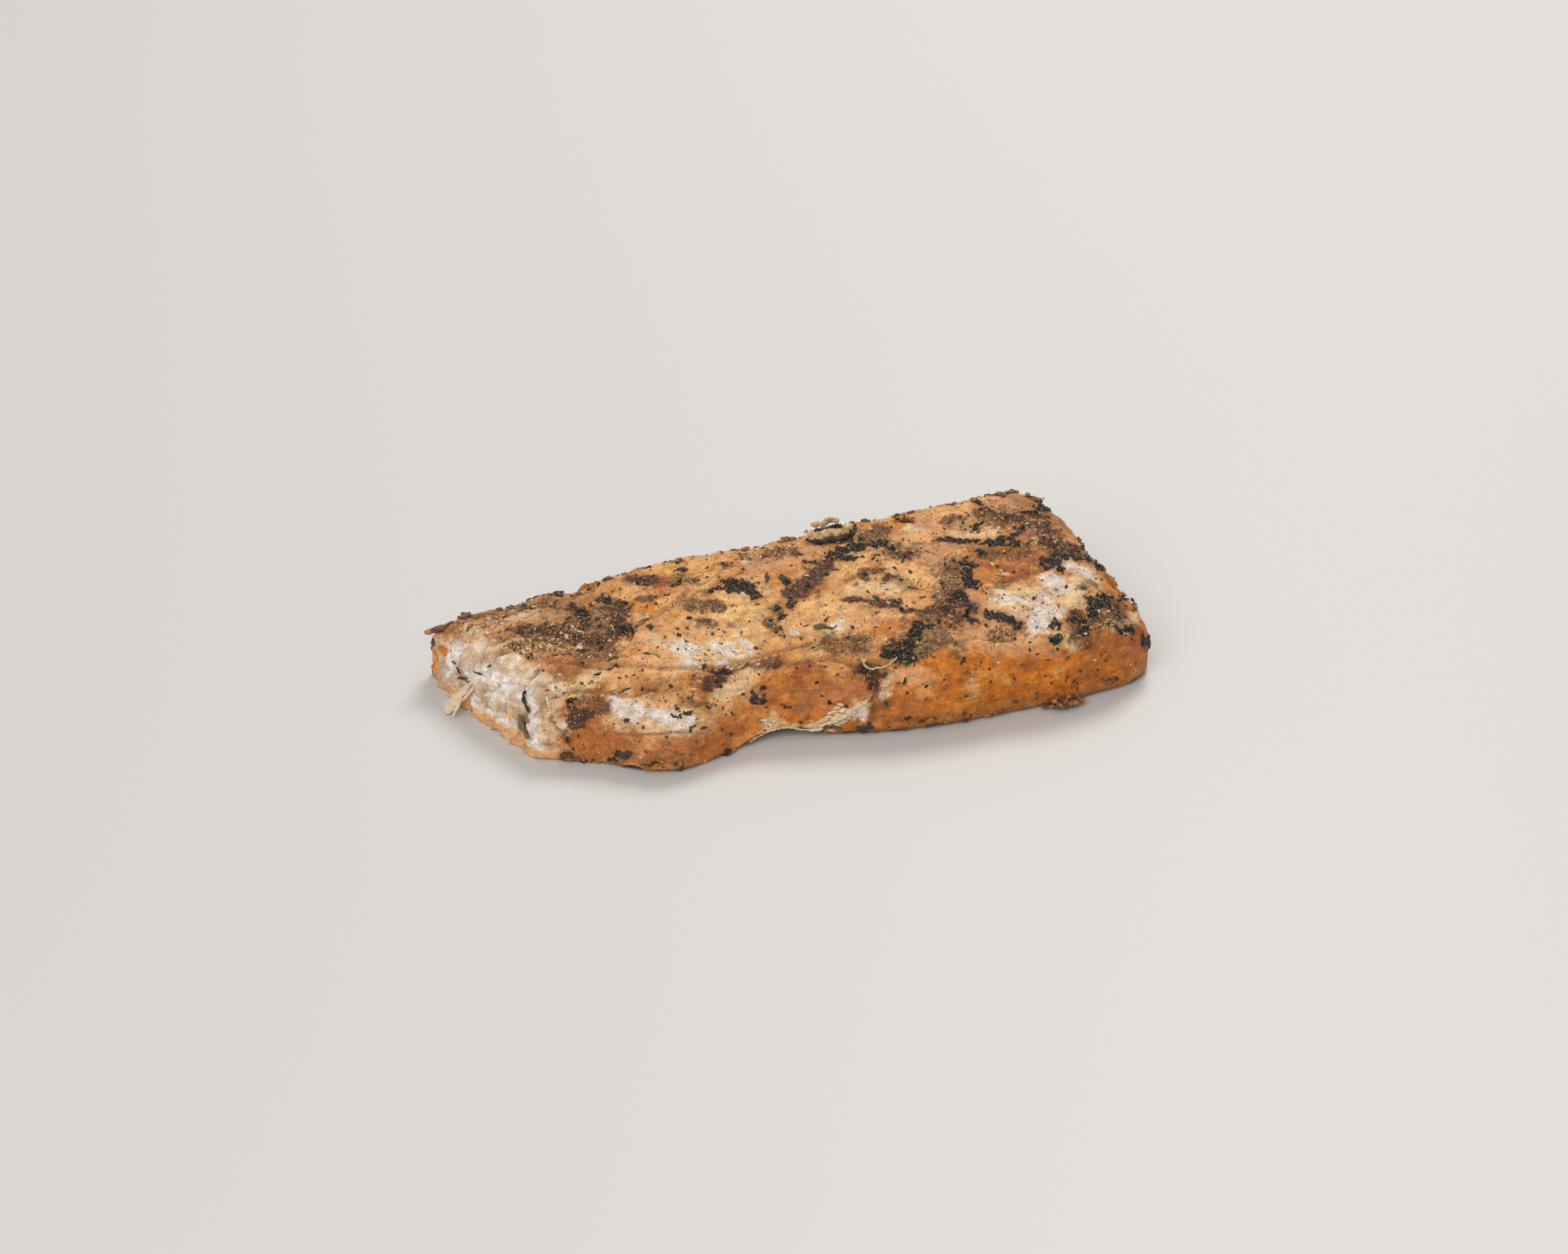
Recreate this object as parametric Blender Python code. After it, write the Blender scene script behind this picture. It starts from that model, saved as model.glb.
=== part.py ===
"""Grilled salmon fillet at its real size, for Blender 4.5.

The fillet lies along X on its flat underside, with Z up and its origin in the middle of that
underside. Y grows from the near long side towards the far one. Its left end is a plain knife
cut that shows the flakes, and its other sides are browned. Sizes are in millimetres, and MM
turns them into Blender's metres.
"""

import math
import random

import bmesh
import bpy
from mathutils import Matrix, Vector, noise
from mathutils.bvhtree import BVHTree

MM = 0.001

# Outlines seen from above, as (place, value) knots that a smooth curve joins.
NEAR_SIDE = ((-66, -18), (-53, -23), (-37, -31.5), (-14, -24.8), (18, -29), (52, -27), (76, -23))
FAR_SIDE = ((-80, 26), (-50, 28), (0, 29.5), (45, 32), (67, 31))
LEFT_END = ((-1, -62.5), (-0.5, -66.5), (0, -71.5), (0.5, -75.5), (1, -77))
RIGHT_END = ((-1, 77.5), (-0.5, 75), (0.4, 71.5), (1, 67))

# Thickness at stations along X, on the near rim, near shoulder, middle, far shoulder and far rim.
ACROSS = (-1, -0.6, 0, 0.6, 1)
THICKNESS = (
    (-79, (15.5, 17.5, 18.5, 15.5, 13)),
    (-50, (10.5, 16.5, 20.5, 19.5, 18)),
    (-25, (11.5, 17.5, 21.5, 21.5, 20.5)),
    (0, (16, 19.5, 22, 22.5, 22)),
    (30, (17.5, 20.5, 23.5, 24.5, 24)),
    (60, (18, 21, 24, 25.5, 26)),
    (78, (17, 20, 22.5, 24, 24)),
)

# Radii of the cross-section's corners.
NEAR_TOP_RADIUS = 6
FAR_TOP_RADIUS = 8
BOTTOM_RADIUS = 2.5
SECTION_HEIGHT = 22

# The right end is rounded over this length, by these shares of the width and height. Its top
# stands back from its foot, as the left end's top does.
END_ROUNDING = 10
END_NARROWING = 0.3
END_LOWERING = 0.2
END_BULGE = 2.5
RIGHT_SETBACK = ((-1, 6.5), (1, 0.5))
LEFT_SETBACK = ((-1, 2), (1, 0.5))

# Charred patches and lines, as (radius, rise, places). A place is (x, s), where s is Y on the top
# and goes on down the long sides.
CHAR = (
    (2.3, 0.5, ((-1, 2), (5, 5.7), (11, 9), (15, 12), (21, 14.5))),
    (1.2, 0.4, ((29, 10.5), (37, 10), (45, 9), (54, 7.4))),
    (2.0, 0.6, ((-14, 10.8), (-10.5, 6.6), (-7, 1))),
    (2.8, 0.3, ((-39.5, 8), (-40, 2))),
    (2.6, 0.5, ((12.5, -24), (17, -22), (21, -20), (26, -18.5))),
    (1.4, 0.4, ((37.5, -16.7), (41.5, -18.3), (45, -21))),
    (1.8, 0.5, ((56, -3), (63, -1), (70, -1))),
    (2.6, 0.6, ((62, -20.5), (68, -15.5), (72, -14))),
    (2.6, 0.4, ((37, 1.5), (34, -7), (32.5, -14.5))),
    (1.3, 0.4, ((12, -5.5), (21, -10.8))),
    (2.4, 0.3, ((-26, -22.5), (-22, -19))),
    (3.2, 0.3, ((-57, -20), (-54, -21.5))),
)

# Splits in the flesh, as (half width, depth, places).
SPLITS = (
    (1.1, 0.8, ((-39.5, -4), (-32, -1.2), (-25.5, 3.4), (-22.5, 7.2), (-18.5, 11))),
    (1.4, 1.1, ((9, -27), (10, -34), (9.5, -41))),
    (1.0, 0.6, ((-9, -20), (2, -22), (9, -27))),
    (0.9, 0.5, ((-62, -4), (-50, -10), (-36, -17), (-20, -19))),
)

# The browned skin left of this line lies lower, as (s, x) knots.
SUNKEN_EDGE = ((-14, -47), (-5, -39.5), (2.5, -37.7), (12, -35.7), (20, -39), (28, -44))
SUNKEN_DEPTH = 0.9

# A loose flake at the foot of the left end, as Y, half width, height and how far it stands out.
LOOSE_FLAKE = (8, 7, 7, 4.3)

# Larger crusts and crumbs, as (place, radii, turn about Z in degrees).
CRUSTS = (
    ((-74.5, 23.5, 13.8), (5.5, 2.2, 0.9), 8),
    ((-62, 26, 15.8), (4, 1.8, 1.1), 6),
    ((-46, 27, 18.5), (4.5, 1.6, 1.2), 4),
    ((-33, 27.5, 19.8), (3, 1.6, 1.3), -6),
    ((9, 25, 22.8), (2.6, 2, 1.8), 15),
    ((14, 26, 23.6), (3.2, 1.7, 1.7), -10),
    ((19.5, 26.5, 23.4), (2.4, 1.9, 1.5), 20),
    ((35, 28, 24.5), (3, 1.8, 1.5), 5),
    ((56, 29, 25.4), (5, 2.2, 1.4), -5),
    ((64, 24.5, 24.6), (3.4, 2.4, 1.5), -55),
    ((68, 16, 22.6), (3, 2.2, 1.8), -70),
    ((70.6, -1.4, 20.4), (2.6, 1.7, 1.7), 80),
    ((72, -20, 17.2), (3.2, 1.8, 1), 20),
    ((76.6, -16, 9), (2.2, 3, 2.8), 15),
    ((-41, -30.6, 2.2), (3.4, 1.3, 2), 8),
    ((-35, -31.2, 2), (3, 1, 1.7), -12),
    ((50, -27.6, 1.9), (2.4, 1.9, 1.7), 5),
    ((54.5, -27.4, 2), (3.6, 2.2, 1.8), 12),
    ((-62, -19.6, 1.7), (2.8, 1.6, 1.5), 30),
)

# Larger flakes of herb and char, as (place, radii, turn about Z in degrees).
FLAKES = (
    ((-4, 8.1, 22.3), (1.5, 0.8, 0.5), 70),
    ((-0.5, 7.5, 22.4), (1.3, 1.1, 0.7), 20),
    ((0, 12, 22.6), (1.2, 0.8, 0.6), 60),
    ((2.5, -12.5, 20.2), (2.1, 1.2, 0.5), 15),
    ((9.3, -18.8, 19.2), (2, 1, 0.6), 5),
    ((0.5, -19.3, 18.2), (1.7, 0.9, 0.5), -20),
    ((21, -10.8, 21.5), (2.3, 1.1, 0.6), -15),
    ((40.6, -0.8, 23.4), (1.9, 1.1, 0.7), 40),
    ((39.2, -6.9, 22.5), (1.5, 1, 0.6), 10),
    ((34.5, -15.5, 20.8), (1.6, 1, 0.7), 60),
    ((24.8, 13.4, 24.3), (1.9, 1.1, 0.6), 25),
    ((-15.5, -24.3, 11.2), (2, 1, 1.3), 5),
    ((7.5, -27.8, 2.2), (2.3, 1, 1.4), 0),
    ((-18.5, -25.6, 1.4), (2.1, 0.9, 1.1), 10),
    ((-46.9, -26.9, 3.6), (1.9, 0.9, 1.3), -15),
    ((-65.2, -12.6, 5.6), (1, 2, 1.9), 20),
    ((-64.6, -12.2, 12.4), (0.9, 1.5, 2.4), 20),
    ((-74, 8.9, 7.4), (0.8, 1.9, 0.9), 0),
    ((-77, 22.3, 10.6), (0.9, 0.9, 2.1), 0),
    ((52.7, -23, 18.4), (1.5, 1, 0.6), 30),
    ((58.9, -23.6, 17.4), (1.8, 1.2, 0.8), -10),
    ((-46.9, 10.5, 19.6), (1.7, 1.2, 0.6), 0),
    ((-21.5, 17.6, 21.7), (1.5, 0.9, 0.6), 30),
    ((-30.7, 17.2, 21.3), (2.6, 1.3, 0.5), 0),
)

# Small flakes strewn by chance over the top and the near side.
TOP_SPECKS = 46
SIDE_SPECKS = 10
SPECK_RADIUS = (0.7, 1.3)
SEED = 7

GOLDEN = (0.55, 0.26, 0.1)

# Cells of the grid along X, Y and Z.
CELLS = (52, 20, 7)


def clamp(value, low, high):
    return min(max(value, low), high)


def mix(start, end, share):
    return start + (end - start) * share


def spline(knots, place):
    """Smooth curve through (place, value) knots, level beyond the first and the last."""
    place = clamp(place, knots[0][0], knots[-1][0])
    i = max(k for k in range(len(knots) - 1) if knots[k][0] <= place)
    (x1, y1), (x2, y2) = knots[i], knots[i + 1]
    x0, y0 = knots[i - 1] if i > 0 else (x1 - (x2 - x1), y1)
    x3, y3 = knots[i + 2] if i + 2 < len(knots) else (x2 + (x2 - x1), y2)
    span = x2 - x1
    t = (place - x1) / span
    slope1 = (y2 - y0) / (x2 - x0) * span
    slope2 = (y3 - y1) / (x3 - x1) * span
    rise = y2 - y1
    return y1 + t * (slope1 + t * (3 * rise - 2 * slope1 - slope2 + t * (slope1 + slope2 - 2 * rise)))


def thickness(x, across):
    """Height of the top over the underside, across running from -1 on the near rim to 1."""
    i = sum(station[0] <= x for station in THICKNESS[1:-1])
    (x1, low), (x2, high) = THICKNESS[i], THICKNESS[i + 1]
    t = clamp((x - x1) / (x2 - x1), 0, 1)
    t = t * t * (3 - 2 * t)
    return mix(spline(tuple(zip(ACROSS, low)), across), spline(tuple(zip(ACROSS, high)), across), t)


def rounded_section(b, c, half_width):
    """Where the point (b, c) of a square's edge lies on a box with rounded corners."""
    half_height = SECTION_HEIGHT / 2
    top_radius = mix(NEAR_TOP_RADIUS, FAR_TOP_RADIUS, clamp(b + 0.5, 0, 1))
    radius = top_radius if c > 0 else BOTTOM_RADIUS
    y, z = b * half_width, c * half_height
    inner_y = clamp(y, radius - half_width, half_width - radius)
    inner_z = clamp(z, radius - half_height, half_height - radius)
    out = math.hypot(y - inner_y, z - inner_z)
    if out > 0:
        y = inner_y + (y - inner_y) / out * radius
        z = inner_z + (z - inner_z) / out * radius
    return y, (z + half_height) / SECTION_HEIGHT


def body_point(a, b, c):
    """Where the point (a, b, c) of a cube from -1 to 1 lies on the plain fillet."""
    ring = max(abs(b), abs(c))
    left = spline(LEFT_END, b) - spline(LEFT_SETBACK, b) * (1 - c) / 2
    right = spline(RIGHT_END, b) - spline(RIGHT_SETBACK, b) * max(c, 0) ** 2
    x = mix(left, right, (a + 1) / 2) + END_BULGE * (1 - ring * ring) * max(a, 0) ** 8
    near, far = spline(NEAR_SIDE, x), spline(FAR_SIDE, x)
    middle, half_width = (near + far) / 2, (far - near) / 2
    b, c = (b / ring, c / ring) if ring > 0 else (0, 0)
    y, level = rounded_section(b, c, half_width)
    y, level = y * ring, 0.5 + (level - 0.5) * ring
    to_end = right - x
    if to_end < END_ROUNDING:
        short = 1 - math.sqrt(1 - (1 - max(to_end, 0) / END_ROUNDING) ** 2)
        y *= 1 - END_NARROWING * short
        level *= 1 - END_LOWERING * short
    height = thickness(x, clamp(y / half_width, -1, 1))
    return Vector((x, middle + y, level * height))


def gridded_cube(cells):
    """A cube from -1 to 1 whose faces are cut into cells along X, Y and Z."""
    mesh = bmesh.new()
    bmesh.ops.create_cube(mesh, size=2)
    for axis, count in enumerate(cells):
        along = [e for e in mesh.edges if abs(e.verts[0].co[axis] - e.verts[1].co[axis]) > 0.5]
        bmesh.ops.subdivide_edges(mesh, edges=along, cuts=count - 1, use_grid_fill=True)
    return mesh


def unroll(point):
    """The place (x, s) of a point on the surface."""
    near, far = spline(NEAR_SIDE, point.x), spline(FAR_SIDE, point.x)
    across = clamp((point.y - (near + far) / 2) / ((far - near) / 2), -1, 1)
    drop = thickness(point.x, across) - point.z
    return point.x, point.y + (drop if across > 0 else -drop)


def distance_to_path(x, s, places):
    """Distance from the place (x, s) to a path of straight lines."""
    nearest = math.inf
    for (x1, s1), (x2, s2) in zip(places, places[1:]):
        length_squared = (x2 - x1) ** 2 + (s2 - s1) ** 2
        t = clamp(((x - x1) * (x2 - x1) + (s - s1) * (s2 - s1)) / length_squared, 0, 1)
        nearest = min(nearest, math.hypot(x - mix(x1, x2, t), s - mix(s1, s2, t)))
    return nearest


def soft(share):
    """1 at a share of 0, falling smoothly to 0 at a share of 1."""
    share = clamp(share, 0, 1)
    return 1 - share * share * (3 - 2 * share)


def relief(point):
    """How far the surface stands out at a point of the plain fillet."""
    x, s = unroll(point)
    rise = 0.7 * noise.noise(point / 13) + 0.35 * noise.noise(point / 5)
    for radius, height, places in CHAR:
        rise += height * soft(distance_to_path(x, s, places) / radius / 1.3)
    for half_width, depth, places in SPLITS:
        rise -= depth * soft(distance_to_path(x, s, places) / half_width / 1.4)
    if s > -14:
        rise -= SUNKEN_DEPTH * soft((x - spline(SUNKEN_EDGE, s)) / 1.6) * soft((-60 - x) / 14)
    return rise * clamp(point.z / 3, 0, 1)


def cut_relief(point):
    """How far the flakes of the left end stand out at a point of it."""
    rise = 0.9 * noise.noise(Vector((5, point.y * 0.13 + point.z * 0.1, point.z * 0.4)))
    y, half_width, height, length = LOOSE_FLAKE
    rise += length * soft(abs(point.y - y) / half_width) * soft(point.z / height)
    return rise


def make_body():
    mesh = gridded_cube(CELLS)
    left_face = [vertex for vertex in mesh.verts if vertex.co.x < -0.999]
    inner = [vertex for vertex in left_face if abs(vertex.co.y) < 0.999 and vertex.co.z < 0.999]
    for vertex in mesh.verts:
        vertex.co = body_point(*vertex.co)
    mesh.normal_update()
    moves = {vertex: vertex.normal * relief(vertex.co) for vertex in mesh.verts}
    for vertex in left_face:
        moves[vertex] *= 0.3
    for vertex in inner:
        moves[vertex] = Vector((-cut_relief(vertex.co), 0, 0))
    for vertex, move in moves.items():
        vertex.co += move
        vertex.co.z = max(vertex.co.z, 0)
    underside = [face for face in mesh.faces if max(vertex.co.z for vertex in face.verts) < 0.0001]
    bmesh.ops.dissolve_faces(mesh, faces=underside, use_verts=True)
    return mesh


def lump(place, radii, turn, rng):
    """A rough flake, crust or crumb of 20 triangles."""
    mesh = bmesh.new()
    bmesh.ops.create_icosphere(mesh, subdivisions=1, radius=1)
    for vertex in mesh.verts:
        vertex.co *= rng.uniform(0.85, 1.12)
    bmesh.ops.scale(mesh, vec=radii, verts=mesh.verts)
    bmesh.ops.transform(mesh, matrix=turn, verts=mesh.verts)
    bmesh.ops.translate(mesh, vec=place, verts=mesh.verts)
    return mesh


def to_object(mesh, name, collection):
    """Moves a mesh in millimetres into an object in metres."""
    bmesh.ops.scale(mesh, vec=(MM, MM, MM), verts=mesh.verts)
    data = bpy.data.meshes.new(name)
    mesh.to_mesh(data)
    mesh.free()
    thing = bpy.data.objects.new(name, data)
    collection.objects.link(thing)
    return thing


def strewn_lumps(surface, rng):
    """The small flakes, which lie flat on the surface where a line onto it lands."""
    lumps = []
    for i in range(TOP_SPECKS + SIDE_SPECKS):
        if i < TOP_SPECKS:
            start, way = Vector((rng.uniform(-68, 68), rng.uniform(-20, 24), 60)), Vector((0, 0, -1))
        else:
            start, way = Vector((rng.uniform(-50, 70), -60, rng.uniform(4, 14))), Vector((0, 1, 0))
        place, normal, _, _ = surface.ray_cast(start, way)
        radius = rng.uniform(*SPECK_RADIUS)
        turn = normal.to_track_quat("Z", "Y").to_matrix().to_4x4()
        turn @= Matrix.Rotation(rng.uniform(0, math.pi), 4, "Z")
        lumps.append(lump(place, (radius * 1.5, radius * 0.8, radius * 0.6), turn, rng))
    return lumps


def make_material():
    """Golden grilled fish."""
    material = bpy.data.materials.new("Grilled fish")
    material.use_nodes = True
    shader = material.node_tree.nodes["Principled BSDF"]
    shader.inputs["Base Color"].default_value = (*GOLDEN, 1)
    shader.inputs["Roughness"].default_value = 0.5
    shader.inputs["Metallic"].default_value = 0
    return material


def join(fillet, pieces):
    """Unites the fillet with its pieces and removes them."""
    union = fillet.modifiers.new("Join the pieces", "BOOLEAN")
    union.operation = "UNION"
    union.operand_type = "COLLECTION"
    union.collection = pieces
    union.solver = "EXACT"
    bpy.context.view_layer.objects.active = fillet
    bpy.ops.object.modifier_apply(modifier=union.name)
    for piece in list(pieces.objects):
        bpy.data.objects.remove(piece)
    bpy.data.collections.remove(pieces)


def main():
    for existing in list(bpy.data.objects):
        bpy.data.objects.remove(existing)
    parts = bpy.data.collections.new("Grilled salmon fillet")
    pieces = bpy.data.collections.new("Pieces to join")
    for collection in (parts, pieces):
        bpy.context.scene.collection.children.link(collection)
    rng = random.Random(SEED)
    body = make_body()
    surface = BVHTree.FromBMesh(body)
    lumps = []
    for place, radii, degrees in CRUSTS + FLAKES:
        on_surface, _, _, _ = surface.find_nearest(Vector(place))
        lumps.append(lump(on_surface, radii, Matrix.Rotation(math.radians(degrees), 4, "Z"), rng))
    lumps += strewn_lumps(surface, rng)

    fillet = to_object(body, "salmon_fillet", parts)
    for mesh in lumps:
        to_object(mesh, "lump", pieces)
    join(fillet, pieces)
    fillet.data.materials.append(make_material())
    fillet.data.shade_smooth()
    fillet.data.set_sharp_from_angle(angle=math.radians(40))


main()
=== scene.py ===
"""Looks of a grilled salmon fillet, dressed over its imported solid.

The fillet and each kind of thing on it are made here as meshes: char grains, spice, pepper,
charred and green herbs, straw-like stems, pale chips, loose flesh, crumbs of crust and a curled
strip of crust. Sizes are in millimetres until a piece is finished, and MM turns them into metres.
A place on the fillet is (x, s): x runs along it, and s is Y on the top and goes on down its long
sides.
"""

import math
import random

import bmesh
import bpy
import numpy as np
from mathutils import Matrix, Vector, noise
from mathutils.kdtree import KDTree


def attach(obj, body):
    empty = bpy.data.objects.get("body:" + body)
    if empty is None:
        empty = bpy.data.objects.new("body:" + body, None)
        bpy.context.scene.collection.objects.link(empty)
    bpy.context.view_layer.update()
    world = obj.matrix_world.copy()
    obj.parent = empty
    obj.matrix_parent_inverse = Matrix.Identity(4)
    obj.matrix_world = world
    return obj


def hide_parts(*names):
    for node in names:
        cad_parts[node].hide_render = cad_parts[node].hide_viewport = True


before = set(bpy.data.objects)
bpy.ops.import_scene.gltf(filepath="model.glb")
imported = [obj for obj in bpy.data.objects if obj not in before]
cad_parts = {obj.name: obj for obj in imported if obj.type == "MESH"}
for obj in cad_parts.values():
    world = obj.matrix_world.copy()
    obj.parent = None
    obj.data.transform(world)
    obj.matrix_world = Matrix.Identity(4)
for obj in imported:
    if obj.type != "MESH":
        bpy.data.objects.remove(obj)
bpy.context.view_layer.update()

MM = 0.001
UP = Vector((0, 0, 1))

# The outline seen from above and the thickness are those of the solid: (place, value) knots.
NEAR_SIDE = ((-66, -18), (-53, -23), (-37, -31.5), (-14, -24.8), (18, -29), (52, -27), (76, -23))
FAR_SIDE = ((-80, 26), (-50, 28), (0, 29.5), (45, 32), (67, 31))
LEFT_END = ((-1, -62.5), (-0.5, -66.5), (0, -71.5), (0.5, -75.5), (1, -77))
RIGHT_END = ((-1, 77.5), (-0.5, 75), (0.4, 71.5), (1, 67))
ACROSS = (-1, -0.6, 0, 0.6, 1)
THICKNESS = (
    (-79, (15.5, 17.5, 18.5, 15.5, 13)),
    (-50, (10.5, 16.5, 20.5, 19.5, 18)),
    (-25, (11.5, 17.5, 21.5, 21.5, 20.5)),
    (0, (16, 19.5, 22, 22.5, 22)),
    (30, (17.5, 20.5, 23.5, 24.5, 24)),
    (60, (18, 21, 24, 25.5, 26)),
    (78, (17, 20, 22.5, 24, 24)),
)
NEAR_TOP_RADIUS = 6
FAR_TOP_RADIUS = 8
BOTTOM_RADIUS = 2.5
SECTION_HEIGHT = 22
END_ROUNDING = 10
END_NARROWING = 0.3
END_LOWERING = 0.2
END_BULGE = 2.5
RIGHT_SETBACK = ((-1, 6.5), (1, 0.5))
LEFT_SETBACK = ((-1, 2), (1, 0.5))
CELLS = (336, 144, 40)
# Half the length, half the width of the cut end, and where the right end starts and is reached.
HALF_LENGTH = 75
CUT_HALF_WIDTH = 22
RIGHT_END_FROM = (62, 68)
# The upper edge of the left end stands back by this and is smoothed this many times.
EDGE_SETBACK = 4.2
EDGE_SMOOTHINGS = 50

# Colours, as linear red, green and blue.
TAN = (0.63, 0.238, 0.052)
GOLDEN = (0.9, 0.42, 0.112)
LIGHT_TAN = (0.84, 0.43, 0.175)
PINK_TAN = (0.71, 0.33, 0.15)
# Dark smudges, and painted shade along the splits.
SMUDGE_AND_SPLIT_SHADE = (0.2, 0.08, 0.03)
SIDE_ORANGE = (0.69, 0.2, 0.014)
SIDE_PINK = (0.7, 0.228, 0.046)
TOP_ORANGE = (0.62, 0.21, 0.034)
BROWNED = (0.36, 0.14, 0.036)
RED_BROWN = (0.35, 0.085, 0.015)
SIDE_RED = (0.46, 0.135, 0.026)
VIVID = (0.66, 0.21, 0.016)
GLOW = (0.95, 0.54, 0.2)
CRUSTED = (0.25, 0.1, 0.035)
CREAM = (0.87, 0.58, 0.3)
NEAR_WHITE = (0.9, 0.78, 0.69)
# A painted highlight: the colour of glints of light on the oil.
GLINT = (0.98, 0.78, 0.56)
COOKED_FLESH = (0.8, 0.53, 0.31)
CREAM_WHITE = (0.94, 0.75, 0.55)
FLESH_WHITE = (0.99, 0.9, 0.81)
PEACH = (0.82, 0.43, 0.185)
# Painted shade for the gaps between the flakes of the cut end.
FLAKE_GAP_SHADE = (0.36, 0.19, 0.09)
PINK_GREY = (0.56, 0.33, 0.19)
DUST_BROWN = (0.2, 0.082, 0.028)
OLIVE = (0.24, 0.19, 0.07)
SEAR_HALO = (0.26, 0.07, 0.018)
UNDERSIDE = (0.36, 0.16, 0.06)
PALE_GRAIN = (0.86, 0.54, 0.25)
SPICE_DUST = (0.13, 0.06, 0.028)
# Pale flecks painted as fine glints of oil: a painted highlight.
FINE_GLINT = (0.95, 0.68, 0.36)
SEARED = ((0.035, 0.013, 0.012), (0.17, 0.058, 0.028))
CHARRED = ((0.014, 0.014, 0.016), (0.1, 0.085, 0.075))
# Painted specks: (cell, radius, share of the cells, dark colour, light colour).
SPECKS = (
    (1.5, 0.3, 0.24, (0.02, 0.015, 0.01), (0.14, 0.09, 0.03)),
    (0.8, 0.17, 0.24, (0.05, 0.03, 0.015), (0.2, 0.09, 0.03)),
)
# Looks of the small things: (name, dark colour, light colour, roughness).
CHAR_LOOK = ("Char", (0.016, 0.016, 0.018), (0.42, 0.27, 0.13), 0.36)
SPICE_LOOK = ("Spice", (0.09, 0.035, 0.015), (0.85, 0.5, 0.18), 0.34)
PEPPER_LOOK = ("Pepper", (0.02, 0.013, 0.009), (0.22, 0.1, 0.03), 0.5)
CHARRED_LEAF_LOOK = ("Charred leaf", (0.014, 0.014, 0.015), (0.08, 0.065, 0.05), 0.42)
DRIED_LEAF_LOOK = ("Dried leaf", (0.03, 0.03, 0.012), (0.24, 0.19, 0.065), 0.5)
STRAW_LOOK = ("Straw", (0.5, 0.34, 0.14), (0.78, 0.62, 0.36), 0.5)
PALE_CHIP_LOOK = ("Pale chip", (0.62, 0.37, 0.17), (0.82, 0.66, 0.44), 0.45)
PALE_FLESH_LOOK = ("Pale flesh", (0.72, 0.5, 0.3), (0.88, 0.75, 0.56), 0.42)
CRUMB_LOOK = ("Crust", (0.08, 0.028, 0.012), (0.58, 0.27, 0.1), 0.5)
CURL_LOOK = ("Dried crust", (0.36, 0.19, 0.075), (0.86, 0.6, 0.32), 0.5)

# The view and the light, in metres and degrees.
VIEW_TURN = 16
VIEW_DOWN = 29.5
VIEW_DISTANCE = 1.25
VIEW_AIM = (0.004, 0.024, 0)
LENS = 126
# Lights: (name, place, size, power, colour).
LIGHTS = (
    ("Key", (0.45, 0.65, 0.95), 0.5, 7, (1, 0.98, 0.95)),
    ("Fill", (-0.7, -0.9, 0.9), 1.2, 10, (1, 1, 1)),
)
FLOOR_COLOUR = (0.7, 0.68, 0.65, 1)
SKY_COLOUR = (0.98, 0.98, 1, 1)
SKY_STRENGTH = 0.42

# Patches and lines on the surface are strokes: (radius, (x, s), (x, s), ...).
LIGHT = (
    (6, (-38, -8), (-24, -8)), (5, (-38, -16), (-22, -16)), (5, (18, 10), (30, 14)),
    (5, (6, -8), (22, -9)), (4, (31, -23), (44, -25)), (5, (-8, -10), (4, -12)),
    (4, (-66, 16), (-54, 16)), (5, (-44, -14), (-30, -14)), (5, (-38, -26), (-30, -30)),
    (5, (-24, -22), (-16, -20)), (5, (0, -11), (12, -13), (22, -14)), (4, (14, -2), (21, -5)),
    (5, (44, -14), (58, -12)), (4.5, (36, 20), (48, 22)), (4, (24, 17), (34, 16)),
    (4, (42, -24), (52, -25)), (3.5, (33, 1), (41, 7)), (5, (-60, 13), (-53, 13)),
    (3.4, (-37, -4), (-33, -9)), (2.2, (-24, 7), (-20, 9.5)), (2, (16.5, -31), (19, -31)),
    (1.6, (31.6, -37), (32.6, -38)), (2.6, (-38, -37.5), (-36, -39)),
)
GLOWING = (
    (4.6, (-16, -2), (-13, 3), (-9, 4)), (3.6, (-13, -7), (-9, -5)), (3.4, (10, 6), (15, 8)),
    (3, (-36, 13), (-34, 8)), (3.4, (25, 1), (31, -4)), (3, (2, -4), (8, -6)),
    (2.6, (-62, 12), (-64, 8)), (3, (-20, 10), (-16, 13)),
)
VIVID_ZONES = (
    (2.8, (46, 3), (51, 4), (57, 4)), (2.4, (43, -2), (48, -5), (52, -5)),
    (2.6, (67.6, -7.6), (70.6, -13)), (2.4, (-28, 15), (-25, 10)), (2.4, (-36, 9), (-33, 6)),
    (2.2, (-27, -21), (-24, -22)), (1.5, (-60, -19), (-57, -17.4)), (1.7, (-11, -22), (-7, -24)),
    (2.4, (14, -17), (19, -18)), (2.2, (61, 12), (63, 8)), (2, (26, 19), (30, 20.6)),
)
BROWN_ZONES = (
    (7, (-70, 20), (-60, 18), (-46, 14)), (7, (-60, 4), (-48, 2)),
    (3, (-61, -11), (-52, -10), (-45, -8)), (4, (-67, 6), (-62, 8)), (5, (53, 17), (60, 10)),
    (4, (60, 22), (65, 14)), (3.4, (57, 4), (66, 1)), (3.6, (35, -3), (32, -13)),
    (3.6, (24, -20), (34, -18)), (3.4, (63, -22), (71, -19)), (3, (58, -23), (59, -28)),
    (3, (20, 17), (26, 20)), (2.6, (3, -18), (9, -20)), (2.6, (-41, -20), (-37, -21.4)),
    (2.4, (-32, -26), (-28, -26.4)), (2.6, (18, -26), (26, -23)), (1.6, (-9, -8), (-5, -5)),
)
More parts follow.
